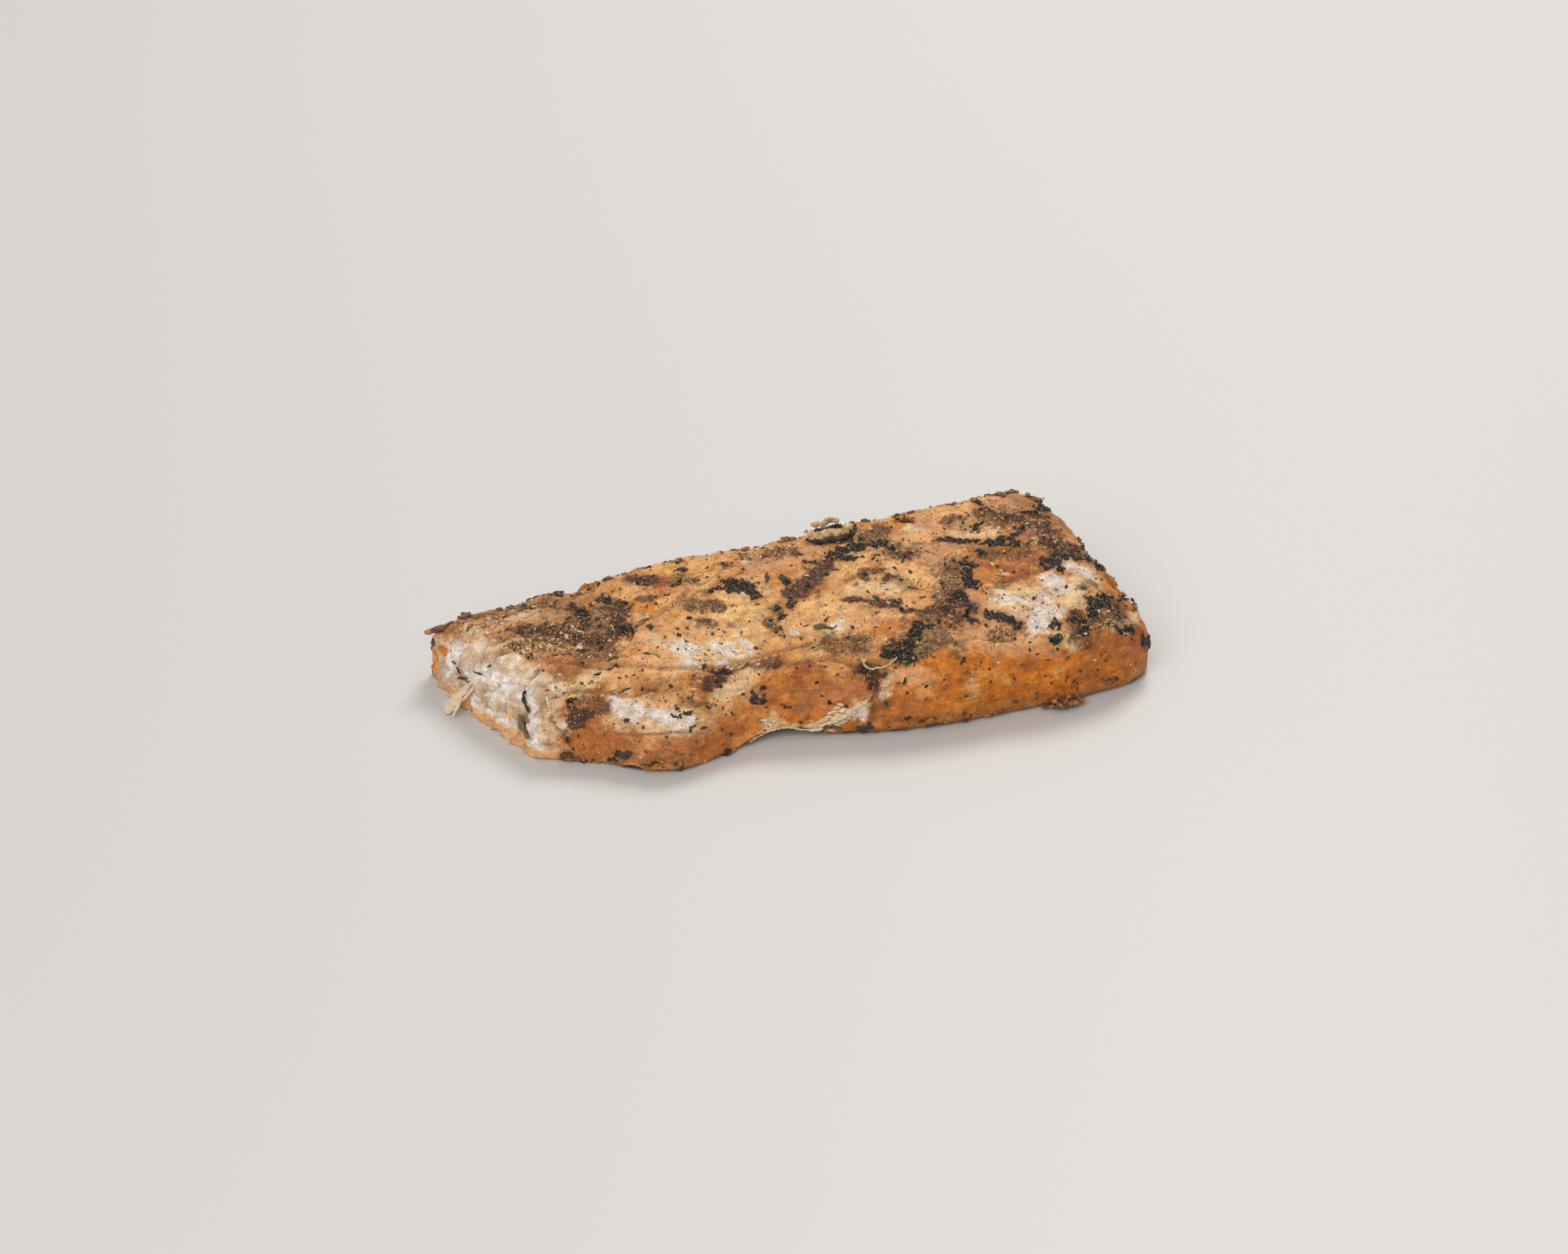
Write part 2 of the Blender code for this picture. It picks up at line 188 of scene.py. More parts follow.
PINKISH = (
    (4, (20, 15), (34, 19)), (4, (34, 6), (42, 14)), (4, (-4, 14), (8, 18)),
    (3.6, (-64, -3), (-60, -5), (-55, -6)), (3.4, (-74, 14), (-68, 10)), (3.2, (-71.5, 16), (-70, 9)),
    (4.4, (-62, -4), (-58, -10)), (3.4, (-4, -31), (6, -34)), (3.4, (-42, -28), (-36, -36)),
    (3, (56, 21), (58, 24)), (3, (38, -13), (36, -21)),
)
DEEP_ORANGE = (
    (3.4, (1, 0), (6, 4), (11, 9)), (2.6, (-24, 12), (-17, 12)), (2.4, (70, -16.6), (72, -20)),
    (2.4, (-6, 6), (0, 10)), (4.4, (44, 2), (50, 4), (56, 3)), (3.6, (42, -4), (48, -5)),
    (2.2, (41, -11.4), (41.4, -12.4)), (3, (-34.6, 6.6), (-32, 9)), (2.4, (-26, 17), (-25.4, 12)),
    (3, (-30, -21), (-27, -22.4)), (4, (-58, -17), (-52, -17.4), (-50.4, -21)),
    (3.4, (-12, -23.6), (-7, -25)), (3.2, (15.4, -18.6), (20, -17.6)), (3.6, (62, 13), (58, 9)),
    (4.2, (68, -27), (62, -30)), (3, (30.6, -3), (30.6, -9)), (1.3, (-40, -9.6), (-39.6, -9.9)),
    (2, (11, 6), (14.4, 8)), (1.5, (23.2, 0.4), (28.4, -5.4), (29.6, -8)), (3.2, (68.8, -9), (70, -13)),
    (2.6, (66, 15), (67.5, 9)), (3, (-50, -8), (-56, -8.4)), (2.4, (-64.6, 12), (-65, 8)),
    (2.2, (-68, 4), (-65, 5.4)),
)
REDDENED_SIDE = (
    (4, (-59, -23), (-53, -27), (-47, -31)), (3, (-40, -36), (-30, -37), (-24, -34)),
    (3.4, (-12, -25), (-4, -26)), (5, (62, -31), (76, -31)), (3, (73, -26), (77, -34)),
    (4, (-6, -29), (6, -33)), (2.6, (10, -38), (20, -40)),
)
RED_ZONES = (
    (2.2, (44, 5.6), (50, 0), (56, -1)), (1.2, (44, -2), (49, -4)), (1.2, (47, 4.6), (55, 3)),
    (2.6, (56.6, 8), (60, 4)), (3, (52, 18), (59, 10)), (3, (36, 0), (33, -8)), (2.4, (2, 1), (6, 5)),
    (2.2, (-29, 16), (-26, 12)), (2.8, (51, 0), (55, -1.6)), (2.4, (57.6, 7), (59, 4)),
    (2.6, (36.4, -1), (34.6, -4), (32.6, -8)), (2.0, (20, -19), (23, -16.6)), (1.7, (45, -8), (51, -6)),
    (2.8, (-49, 6), (-47, 3)), (2.4, (-44, -2), (-45, -4.6)), (2, (-59, -22), (-58, -26)),
    (2.6, (70, -26), (74, -25)), (2, (-7, -25), (-3.4, -22)), (2, (51, 18.6), (48.6, 19.8)),
    (2.4, (70, -20), (73, -22)), (1.7, (-29, -20.4), (-28, -21.6)),
)
CRUSTS = (
    (2.6, (-22.8, 2.4), (-18.8, 1)), (1.5, (-23.4, -3.6), (-21, -4.4)), (1.3, (-9.2, -7), (-8, -9.6)),
    (1.1, (-6.2, -3.4), (-5.2, -6)), (1.5, (16, 1.4), (17.4, 3.4), (19.6, 3)),
    (2.6, (22, 17), (25.6, 20.4)), (2.2, (-24, 13.4), (-20.6, 12.6)), (2.8, (34.6, -2), (32.6, -9)),
    (2.6, (26, -15), (32, -15)), (2.2, (48.6, 20), (52, 18)), (2, (24.4, 8.4), (27.4, 6.8)),
    (1.6, (-14, -18.6), (-10, -19)), (1.3, (-33, 8.4), (-31, 7.6)), (1.4, (57, -24), (57.6, -27)),
    (1.6, (43.6, 20), (40, 18.4)), (2, (-53, -19), (-50, -20)),
)
SMUDGES = (
    (0.8, (31, 11), (34, 11), (37, 10.4)), (1.6, (-1.6, 18.6), (1.4, 18)),
    (1.1, (4.6, 17.2), (4.4, 19.4)), (2.0, (22.4, 17.4), (25.4, 20.6)),
    (1.5, (16, 1.4), (17, 3.4), (19.4, 3)), (0.8, (13.6, 2.2), (13.2, 1.6)),
    (1.3, (-23.4, 1.8), (-21.4, 1.4)), (1.7, (-19.4, 2.6), (-18, 1.6)),
    (1.3, (-22.6, -3.4), (-21, -4.4)), (0.8, (-17.4, -5.8), (-16.8, -6.4)),
    (1.2, (-32, 8.4), (-31, 7.6)), (1.0, (-31, -25.6), (-28, -26)), (1.8, (-23, 13.6), (-20.6, 12.6)),
    (1.0, (-12, 17.8), (-11.4, 17)), (1.6, (28, -13.6), (31, -14.6)), (1.0, (42, 17.4), (40.6, 17.2)),
    (1.3, (28.4, -26.8), (28.8, -28)), (0.9, (12.2, -36.6), (12.4, -38)),
    (0.9, (-9, -7.2), (-8.2, -9.2)), (0.8, (2.2, 0), (1.8, -1.2)), (0.7, (5, 0), (4.6, -2.4)),
    (1.2, (65, -11), (66, -12)), (1.0, (62, -12.6), (62.8, -12.8)), (1.4, (69, -18.4), (69, -22)),
    (1.0, (47, -12.9), (48.4, -13.3)), (1.5, (-62.4, -13), (-59, -13)),
    (1.0, (-59.5, -18), (-61, -17.4)), (1.3, (-12.6, -18.6), (-10.4, -18.9)),
    (0.7, (-24, -18.5), (-16, -18)), (1.0, (-42, 9), (-44, 6)), (1.2, (8.4, -18.4), (10, -18.8)),
    (0.9, (30.6, -24.6), (31, -26)), (0.8, (57, -26.6), (55.4, -28.4)), (1.6, (46, 4), (44, 3.4)),
    (1.4, (65, -22), (62, -23)), (1.4, (59, 13), (57, 16)),
)
PALE = (
    (3, (46, -13), (57, -14)), (1.6, (-16, -37.6), (-8, -39)),
    (2.2, (-60, -14.4), (-54, -14.4), (-49, -13.2)), (3.4, (-47, -22.4), (-41, -27.6), (-33, -30)),
    (2.6, (-30.6, -11.4), (-25, -13), (-18.6, -13.6)), (2.2, (-15, -11.4), (-15.4, -14.6)),
    (2.2, (-24, -23.4), (-19, -21.6)), (2.4, (-29, -15.6), (-31, -16.8)),
    (2.8, (44.6, -12.8), (51, -14), (57, -10.4)), (3.2, (49, -21.4), (54, -18), (58, -16)),
    (3.6, (62, -6), (66.6, -8.4)), (4, (44, -15), (60, -15)), (2.2, (62, -11), (63, -9)),
    (2, (52.4, -26.2), (56, -29.6)), (1.6, (66, -24.6), (70, -23.8)), (2.2, (3, -13.6), (7, -12.4)),
    (2.2, (13.4, -1.8), (19.4, -2), (21, -4.6)), (1.5, (12, -30.6), (11.4, -34.4)),
    (1.7, (7.6, -36.2), (0, -39.4), (-5, -40)), (2.2, (42.6, 12), (48.6, 10.6)),
    (1.1, (35.4, 1.8), (41.4, 7.2)), (1.6, (-71.6, 15.4), (-70.4, 12)), (1.3, (-70.6, 9), (-69.8, 8)),
    (1.1, (-69, 0.6), (-65, 3.2), (-61.4, 3)), (2, (-60, 14), (-57, 12.4)),
    (1.2, (-57.4, -1.2), (-56.2, -1.6)), (2.6, (-64, -14), (-63.4, -22), (-62.6, -30)),
    (1.8, (-13.6, -32.4), (-12.2, -36)), (1.5, (-34.6, -6), (-34, -8.8)),
    (1.0, (32.4, -17), (31.6, -18)), (1.4, (-5.4, 19), (-7, 16.4)), (1.2, (-24, 13.8), (-22.6, 13.2)),
    (1.4, (74, -22), (75.4, -20)), (1.6, (31.6, 18.6), (33, 16.6)),
)
WHITE = (
    (3.2, (48.6, -22.4), (51.4, -19.6)), (2.6, (56.4, -9), (58, -11.4)),
    (2.2, (43.6, -12.6), (47.4, -14.4)), (2.2, (63.4, -7), (65.6, -8.4)), (1.5, (53, -14), (54, -16)),
    (1.7, (-31, -11), (-27, -12.4)), (1.8, (-22, -12.4), (-19, -14.6)),
    (1.0, (-15.2, -12), (-15, -13.4)), (1.2, (-29.6, -16.2), (-28.4, -16.4)),
    (1.9, (-47, -22), (-43, -25)), (1.8, (-40, -26.6), (-36, -28.8)), (1.4, (-35, -31), (-32, -30)),
    (1.0, (5.4, -13), (6.2, -12.6)), (0.9, (-11.8, 4.4), (-11.4, 3.4)), (1.2, (4.6, -37), (7.6, -38)),
    (1.6, (-63.6, -17), (-63.4, -25)), (0.8, (-22, -16.4), (-20.6, -17.6)),
)
DUSTY = (
    (5.5, (-58, 2), (-50, 0), (-45, 3)), (4, (-48, 12), (-47, 6)),
    (3.4, (-40.4, 11), (-40.6, 4), (-42, -2)), (3.4, (-50, -6), (-46, -6.6)),
    (3.4, (-67.4, -2.6), (-64, -1)), (3.6, (19, -25), (24, -22), (30, -18)),
    (3.4, (37, 0), (34.6, -7), (32, -14)), (4, (51, 18), (57, 13), (61, 8)), (4, (60, 3), (68, 0)),
    (3, (63, -20), (70, -20)), (1.8, (44, 2), (50, 1), (55, 2)), (2.6, (58.6, -22), (59, -28)),
    (3, (3, -18), (9, -20)), (2.6, (24, 13), (29, 8)), (2.4, (44, -23), (39, -24)),
    (2.6, (-63, 18), (-52, 18)), (2.4, (-6, 19), (4, 19)), (2.6, (62, -24), (68, -23)),
    (2.4, (-68, 23), (-60, 23)),
)
GREENISH = (
    (2.2, (18, -26.4), (22, -25)), (1.2, (8, -23.6), (9, -26.2), (12, -27), (16.6, -25.8)),
    (1.8, (23.4, -2), (24.6, -5)), (2.0, (-59.4, 2), (-57, 1.4)), (2.2, (-50, -6.4), (-47.6, -5.6)),
    (1.2, (0, -18.2), (3, -16.6)), (1.0, (-23, 12.8), (-20.4, 14)), (1.4, (44.6, 16.8), (45.2, 15)),
    (1.2, (63, -12.6), (64, -12.2)), (1.6, (-44, 3), (-42.4, 1.4)),
)
SEAR = (
    (2.6, (1, 2), (3, 4), (6, 6.4), (9, 9)), (2.0, (-0.6, 0.6), (1, 2)), (2, (8.6, 8.6), (10.8, 11)),
    (2.0, (-32.6, 18.8), (-30.6, 17.6)), (1.5, (-30, 17), (-29, 14.8)),
    (2.2, (-57.4, -22.4), (-55, -20.6)), (1.0, (-24.4, -18.7), (-21.2, -18.6)),
    (1.1, (-26.2, -21.8), (-22.8, -20.2)), (1.9, (8, -27), (9.8, -28.6)),
    (1.2, (9.4, -29), (9.8, -32.6)), (0.9, (10.4, -4.8), (13, -6.4), (17.4, -8.6)),
    (0.6, (21.4, -11.2), (24.8, -13.4)), (1.6, (33.4, -9.4), (32.4, -12.6), (29.4, -15.4)),
    (1.5, (36, -15), (33, -15.6)), (1.9, (-61.8, 6.8), (-59.4, 5.4)), (1.7, (-57.4, 4.6), (-53.4, 3)),
    (2.4, (-51.6, 1), (-49, -1), (-46, -3)), (1.5, (-48, 4), (-46.4, 7)),
    (1.6, (-47.4, 13.4), (-47.2, 9)), (2.2, (-39.6, 11), (-39, 7), (-40.6, 3)),
    (1.5, (-41.4, 0.6), (-42.6, -2.6)), (1.3, (-68.4, -3.4), (-66.6, -4)),
    (0.9, (-67.2, -6.4), (-65.4, -9)), (1.5, (50.4, 20.4), (52.4, 17.6)),
    (1.7, (54.6, 15.6), (57, 13.4)), (1.4, (59, 16.4), (62, 15.4)), (1.6, (60.4, 11), (61, 8)),
    (1.7, (60, 3.4), (63, 2.6), (66, 3.6)), (1.4, (65, 0.2), (69, -1)), (1.1, (70.4, -18), (70.4, -22)),
    (1.1, (27, 7.8), (26.8, 6.6)), (1.8, (-58.4, -31), (-58, -33)), (0.9, (21, -0.6), (22.2, -0.2)),
    (1.1, (16, -22), (14, -22.6)), (1.6, (58, -21.4), (59, -25)), (1.4, (72, 10), (70, 4)),
    (2.0, (-8, 36), (4, 38)), (1.8, (36, 38), (40, 35)), (1.7, (-44, 34), (-38, 37)),
    (1.5, (20, 46), (26, 44)),
)
CHAR = (
    (1.9, (12.6, 12.6), (14.4, 14)), (1.7, (16.4, 14.4), (18.2, 14.6)), (1.1, (13.6, 11), (14.8, 10)),
    (1.0, (10, 22), (12, 20.4), (14.6, 18.8), (17.4, 18.8), (18.8, 20.4)),
    (0.9, (20, 16.8), (19.4, 17.8)), (1.2, (23.3, 14.4), (24.4, 13.8)), (0.6, (25.6, 10.6), (25, 10)),
    (0.9, (38, 10.6), (39, 10.4), (41, 9.6), (43.2, 9.2)), (0.5, (45, 8.4), (46.4, 7.4)),
    (1.3, (47, 7), (49, 6.2)), (1.8, (50.6, 6.8), (52.6, 5.4)), (0.9, (53.6, 8.6), (54.6, 9.6)),
    (1.6, (-13.4, 9.8), (-11.4, 9)), (1.5, (-10.6, 8.2), (-9.6, 6.6)),
    (1.2, (-13.2, 8.4), (-11.4, 6.8)), (1.3, (-9.6, 4), (-8.2, 2.6)),
    (0.45, (-18.6, 6.5), (-17, 7.3), (-15.6, 9.2)), (0.8, (-47.4, 14.4), (-46.4, 11.4)),
    (0.8, (-48.4, 8.6), (-47.6, 7)), (0.9, (-41.4, 15.4), (-40.2, 14.6)),
    (1.3, (-40.4, 0.6), (-40, -1)), (0.7, (-34.7, -2.6), (-34.1, -3.6)),
    (0.9, (-22, 17.8), (-21.4, 16.8)), (0.6, (-25.2, 10.7), (-24.2, 10.8)),
    (1.6, (15, -23.6), (17, -24)), (1.4, (18, -23.4), (19.4, -22.4)),
    (1.3, (20.8, -21.6), (22, -20.2), (23, -18.6)), (1.0, (26, -18.5), (26.6, -18.8)),
    (0.8, (16, -26.4), (18.8, -26.6)), (1.0, (19.6, -9), (20.4, -10)), (0.8, (34.8, -9.4), (34.4, -11)),
    (0.8, (39, -6.6), (39.2, -8)), (1.3, (39.6, 0.4), (40.4, -0.6)),
    (0.9, (38.6, -2.4), (38, -4.6), (37, -6.6)), (0.8, (34.4, -15), (34.2, -17), (34.8, -18.6)),
    (0.7, (38.4, -18.2), (40.5, -18.4)), (1.3, (41, -18.8), (43.2, -19.6), (44.2, -20.8)),
    (1.4, (56.8, -3), (59, -2.4)), (0.8, (59.4, -4.8), (59.8, -6.4)),
    (0.9, (61, -1.6), (64, -2.2), (68.6, -1.4)), (1.9, (62.8, -19.6), (64.6, -17.9), (66.6, -16.8)),
    (0.5, (67.5, -16), (70.5, -15)), (1.0, (57.2, -22), (58.4, -23.8)),
    (0.9, (58.8, -25.6), (59, -27.6)), (0.8, (52.4, -24), (53.2, -22.6)),
    (0.6, (51, -27.6), (52.8, -27.6)), (0.9, (68, -26), (71.6, -26)), (1.4, (74.8, -28.6), (77, -28.4)),
    (0.7, (44.4, 3.6), (44.8, 3.2)), (1.0, (64.8, 26), (65, 21.6), (63, 18.6)),
    (0.8, (60.6, 16.4), (58.6, 15.8)), (0.9, (54, 29), (60, 30)), (0.7, (46.6, 15), (48.3, 15.8)),
    (0.6, (49.8, 24), (50.4, 23.2)), (1.3, (-16.2, -25.9), (-15, -26.3)),
    (0.7, (30.4, 23.6), (32.6, 21.8)), (0.7, (6.4, 12.7), (7.2, 12.1)),
    (0.8, (-5.8, -3.6), (-5.6, -6.2)), (0.6, (-2.6, -4), (-1.6, -2.4)), (1.0, (-70.2, 24), (-69.8, 21)),
    (0.8, (71.4, 2), (70.6, -1)), (0.8, (-7, 33), (2, 37)), (1.0, (-30, 38), (-26, 36)),
    (1.0, (40, 40), (46, 37)), (1.0, (60, 40), (62, 46)), (0.9, (74, 12), (75, 2)),
)

SIDE_PALE = (
    (2.6, (14, -31), (22, -33.6)), (2.4, (0, -31), (8, -33)), (2.4, (38, -28), (52, -30)),
    (2.4, (-46, -33), (-40, -35)), (3, (-20, 33), (-6, 36)), (2.6, (12, 40), (24, 38)),
    (2.6, (-60, 31), (-52, 34)), (2.4, (48, 44), (56, 42)),
)
SIDE_FOOT = (
    (1.8, (6, -42.6), (30, -44), (60, -42), (74, -38)),
    (1.6, (-58, -31), (-44, -36), (-34, -40)),
    (3, (-30, 44), (-10, 46)),
    (2.6, (28, 48), (50, 48)),
)

# Oily places where glints of light are painted into the flesh colour: painted highlights.
GLINTING = (
    (5.5, (-73, 13), (-62, 18)), (3, (-67, 3), (-62, -2)), (4.5, (-58, 3), (-48, 0)),
    (3.5, (-44, 12), (-40, 4)), (4, (-28, -19), (-16, -18)), (3, (56, 4), (59, 6)),
    (4, (54, 18), (62, 6)), (3, (14, 12), (18, 16)), (3.4, (36, -2), (32, -10)),
    (3.4, (62, -20), (72, -20)), (5, (-16, -3), (-8, 5)), (2.6, (2, 3), (8, 9)),
    (3.4, (14, -22), (22, -21)), (3, (24, 2), (30, 8)),
)

# Tones of the flesh, painted in this order: (colour, share, softness of the edge, strokes).
TONES = (
    (LIGHT_TAN, 0.8, 0.8, LIGHT),
    (PINK_TAN, 0.8, 0.8, PINKISH),
    (TOP_ORANGE, 0.85, 0.8, DEEP_ORANGE),
    (GLOW, 0.8, 0.9, GLOWING),
    (PEACH, 0.45, 0.9, SIDE_PALE),
    (SIDE_RED, 0.75, 0.9, REDDENED_SIDE),
    (BROWNED, 0.7, 0.9, SIDE_FOOT),
    (BROWNED, 0.7, 0.9, BROWN_ZONES),
    (VIVID, 0.85, 0.9, VIVID_ZONES),
    (RED_BROWN, 0.8, 0.95, RED_ZONES),
    (CREAM, 0.92, 0.95, PALE),
    (NEAR_WHITE, 0.85, 1, WHITE),
    (CRUSTED, 0.85, 0.7, CRUSTS),
    (SMUDGE_AND_SPLIT_SHADE, 0.8, 0.6, SMUDGES),
    (OLIVE, 0.6, 0.7, GREENISH),
)

# How far the pale flesh of the cut left end reaches onto the top, as (y, reach) knots.
CUT_REACH = ((-24, 4.5), (-14, 6), (-9, 4.5), (-4, 1), (2, -1.5), (10, -2.5), (20, -3))
# Width of the flakes of the cut end.
FLAKE_WIDTH = 5.5
# Strokes on the cut left end, as (radius, (y, z), (y, z), ...).
CUT_WHITE = (
    (2.8, (6, 9.4), (1, 11), (-4, 10.6)), (1.8, (16.4, 9), (18, 5)), (1.6, (-13.6, 10), (-15, 6)),
    (2.2, (13, 12), (14.5, 7)), (2, (-8, 9), (-10.6, 12)), (1.4, (-15.4, 9), (-17, 3)),
    (1.5, (4.6, 4), (-2, 3.4), (-8, 4.6)),
)
CUT_PINK = (
    (1.3, (1.8, 8), (2.2, 5.4)), (0.8, (-0.4, 6.4), (-0.8, 5)), (1.4, (7.6, 12.6), (4.6, 14)),
    (1.6, (-8.6, 9), (-10.6, 6.6)), (1.2, (10.6, 7), (8, 5)), (1.2, (-12.4, 8), (-13, 4)),
    (1.6, (19, 6), (20, 3)),
)
CUT_DOT = ((1.2, (19.5, 9.2), (19.2, 8.8)),)
CUT_ORANGE = (
    (1.9, (25, 6.4), (24.2, 3)), (1.7, (23.4, 1.8), (21.4, 1)), (1.1, (13, 1.6), (3.4, 1), (-6, 1.6)),
    (1.3, (-8, 2), (-14, 1.4), (-19, 1.4)), (0.8, (-7, 8), (-8, 5.6)), (1.4, (24, 13), (20, 14)),
)

# The browned skin left of this line lies lower, as (s, x) knots.
SUNKEN_EDGE = ((-14, -47), (-5, -39.5), (2.5, -37.7), (12, -35.7), (20, -39), (28, -44))
SUNKEN_DEPTH = 1.1
# Splits in the flesh, as (half width, depth, places).
SPLITS = (
    (0.8, 0.9, ((-39.5, -4), (-37, -1.5), (-34, 1), (-31.5, 2.3), (-28, 3.5), (-25.5, 5.3), (-22, 9))),
    (1.4, 1.1, ((9, -27), (10, -34), (9.5, -41))), (1.0, 0.6, ((-9, -20), (2, -22), (9, -27))),
    (0.9, 0.5, ((-62, -4), (-50, -10), (-36, -17), (-20, -19))),
    (0.5, 0.5, ((-2, -40.6), (4, -39.4), (8, -36.6), (12, -33))),
    (0.5, 0.4, ((-26, 4), (-16, 10), (-9, 13))), (0.5, 0.5, ((31, -0.5), (38, 5.5), (43, 8))),
    (0.6, 0.5, ((-62, -13.4), (-50, -17), (-44, -21), (-38, -22))),
    (0.6, 0.4, ((-25, -18.6), (-15, -18), (-8, -19.4))), (0.5, 0.4, ((40, -10), (50, -6.4), (58, -5))),
    (0.35, 0.4, ((24, 9), (30, 3), (34, 0))), (0.35, 0.4, ((27, 12), (31, 8), (34, 6))),
    (0.3, 0.4, ((12, -8), (20, -10.4), (26, -14))), (0.3, 0.3, ((40, 16), (48, 13))),
    (0.35, 0.4, ((-33, 0), (-26, 3), (-19, 7))), (0.3, 0.3, ((-20, 10), (-15, 13), (-12, 16.4))),
    (0.35, 0.3, ((-6, 14), (2, 17), (8, 17))), (0.35, 0.3, ((22, -24.6), (34, -24), (42, -26))),
    (0.35, 0.3, ((-74, 12), (-66, 9), (-62, 12), (-56, 14))),
    (0.4, 0.4, ((-20, -17), (-10, -16.4), (2, -17.4))),
    (0.35, 0.3, ((-48, -28), (-40, -31.6), (-32, -33))), (0.6, 0.5, ((-64, 3), (-58, 1), (-54, -3))),
    (2.8, 1.6, ((73.4, -6.5), (75.4, -11))),
)
# The side is smoothly browned below this line, as (x, s) knots.
BROWNED_BELOW = (
    (-66, -40), (-61, -40), (-59.6, -25), (-52, -26), (-44, -29.6), (-35, -33.4), (-24, -28.6),
    (-16, -25), (-8, -24), (4, -27.6), (12, -30), (24, -26), (44, -26.4), (54, -30.4), (60, -30),
    (68, -27), (76, -24),
)
# A loose flap of flesh hangs from the left end through these points, with shreds beside it:
# (half width, first point, last point).
FLAP = ((-72.6, 5.6, 8.8), (-74.2, 6.2, 6.4), (-75.9, 6.8, 4.1), (-77.3, 7.3, 2.2), (-78.5, 7.9, 0.8))
SHREDS = (
    (0.6, (-75.4, 6, 4.6), (-77.6, 4.6, 0.5)), (0.5, (-76.4, 7, 3.4), (-79, 6.6, 0.4)),
    (0.5, (-76, 8, 4), (-79, 9.6, 0.6)), (0.4, (-74.6, 7.4, 5.6), (-77, 9.4, 2.6)),
    (0.4, (-72.6, 4.4, 8), (-75.4, 4.6, 4)),
)
# The way that the flap and the shreds face.
FLAP_FACES = (-0.75, -0.2, 0.6)
# Strands of pale flesh on the surface: (half width, (x, s), (x, s), ...).
STRANDS = (
    (0.5, (-18, -37), (-14, -38.4), (-9, -39)), (0.5, (-12, -39.6), (-6, -40.4), (-1, -40.4)),
    (0.6, (-2, -39.4), (2, -38.4), (6, -37)), (0.5, (1, -40), (5, -38.6), (9, -36)),
    (0.4, (5, -36.4), (8.4, -35)), (0.4, (11, -35), (12, -32)), (0.45, (-4, -39), (1, -36.6)),
    (0.45, (0, -38.6), (4, -35.4)), (0.4, (-1, -37.4), (3, -34.2)), (0.5, (-14.4, -32), (-13, -35.6)),
    (0.45, (-12.8, -32), (-11.6, -35.4)), (0.4, (-62.8, -16), (-62.6, -22)),
    (0.22, (-37, -0.6), (-34, 1.6)),
)
# The near foot curls up off the floor: (x of the middle, half length, lift).
CURLED_FOOT = (-10, 13, 2.8)

# Charred leaves lie along two ends: (half width, (x, s), (x, s)).
CHARRED_LEAVES = (
    (1.2, (-48.6, -33.4), (-45.6, -33.8)), (0.9, (0.1, 5.2), (-1.2, 9.6)),
    (0.55, (-4.9, 6.4), (-3.6, 10.6)), (0.6, (-63.2, -13.8), (-60.6, -14.1)),
    (0.5, (-36.6, -28), (-35.2, -29)), (0.5, (-30.4, -32.2), (-28.8, -31.8)),
    (0.4, (-28, -26.4), (-27, -27)), (0.5, (-52.6, -21), (-51.4, -21)),
    (0.35, (-46, -19.4), (-43.2, -19.8)), (0.5, (-35.2, -2.4), (-34, -4)),
    (0.4, (-29, -4.8), (-28.2, -5.2)), (0.4, (-29.4, -6.8), (-28.6, -7.2)),
    (0.35, (-26.6, -5), (-26.2, -6)), (0.4, (-21.8, -8.2), (-21.2, -7.6)),
    (0.45, (15, -3.2), (15.6, -4.2)), (0.55, (16.4, -5.6), (16.8, -7.4)),
    (0.7, (18.8, -8.9), (21, -10.6)), (0.8, (6, -41.4), (9, -42.4)), (0.9, (7, -42.8), (8.8, -41.4)),
    (0.5, (3.4, -35.2), (4, -36)), (0.4, (16.4, -35.2), (17, -35.5)),
    (0.5, (-6.9, -10.4), (-6.4, -11.1)), (0.45, (-3.2, -3), (-2.6, -4.8)),
    (0.4, (-6.4, -12.4), (-6.3, -13.4)), (0.5, (52.4, -24.2), (53.2, -22.2)),
    (0.7, (50.8, -27.3), (53, -27.8)), (0.4, (51.8, -30), (52.6, -30.6)),
    (0.35, (54.6, -33.2), (55.2, -32.6)), (0.35, (50.6, -38.3), (51.2, -38.7)),
    (0.4, (56.2, -38.9), (57, -38.5)), (0.3, (57.4, -36), (58, -36.4)),
    (0.3, (42, -36.4), (42.4, -36.8)), (0.3, (62.2, -36.3), (62.8, -36.7)),
    (0.5, (-12.2, 18.2), (-11, 16.8)), (0.35, (38.2, -23.8), (38.9, -24.2)),
    (0.3, (41.3, -23.8), (41.9, -24.2)), (0.35, (42.5, -25.1), (43.2, -25.5)),
    (0.5, (12.2, -36.4), (12.6, -37.6)), (0.35, (-10.6, -29.4), (-9, -31)),
    (0.3, (-2, -31), (-1.6, -31.6)), (0.35, (-6.6, -36.8), (-6, -37.2)),
    (0.35, (30.2, -38.8), (31, -39.3)), (0.3, (33.8, -30.8), (34.3, -31.2)),
    (0.5, (24.6, -4.6), (26.2, -6.2)), (0.4, (-34.8, -28.4), (-34, -28)),
    (0.4, (-33, -32.4), (-32.2, -32)), (0.4, (40.4, 17.8), (42, 18)),
    (0.5, (-24.6, -39), (-22.4, -40.6)),
)
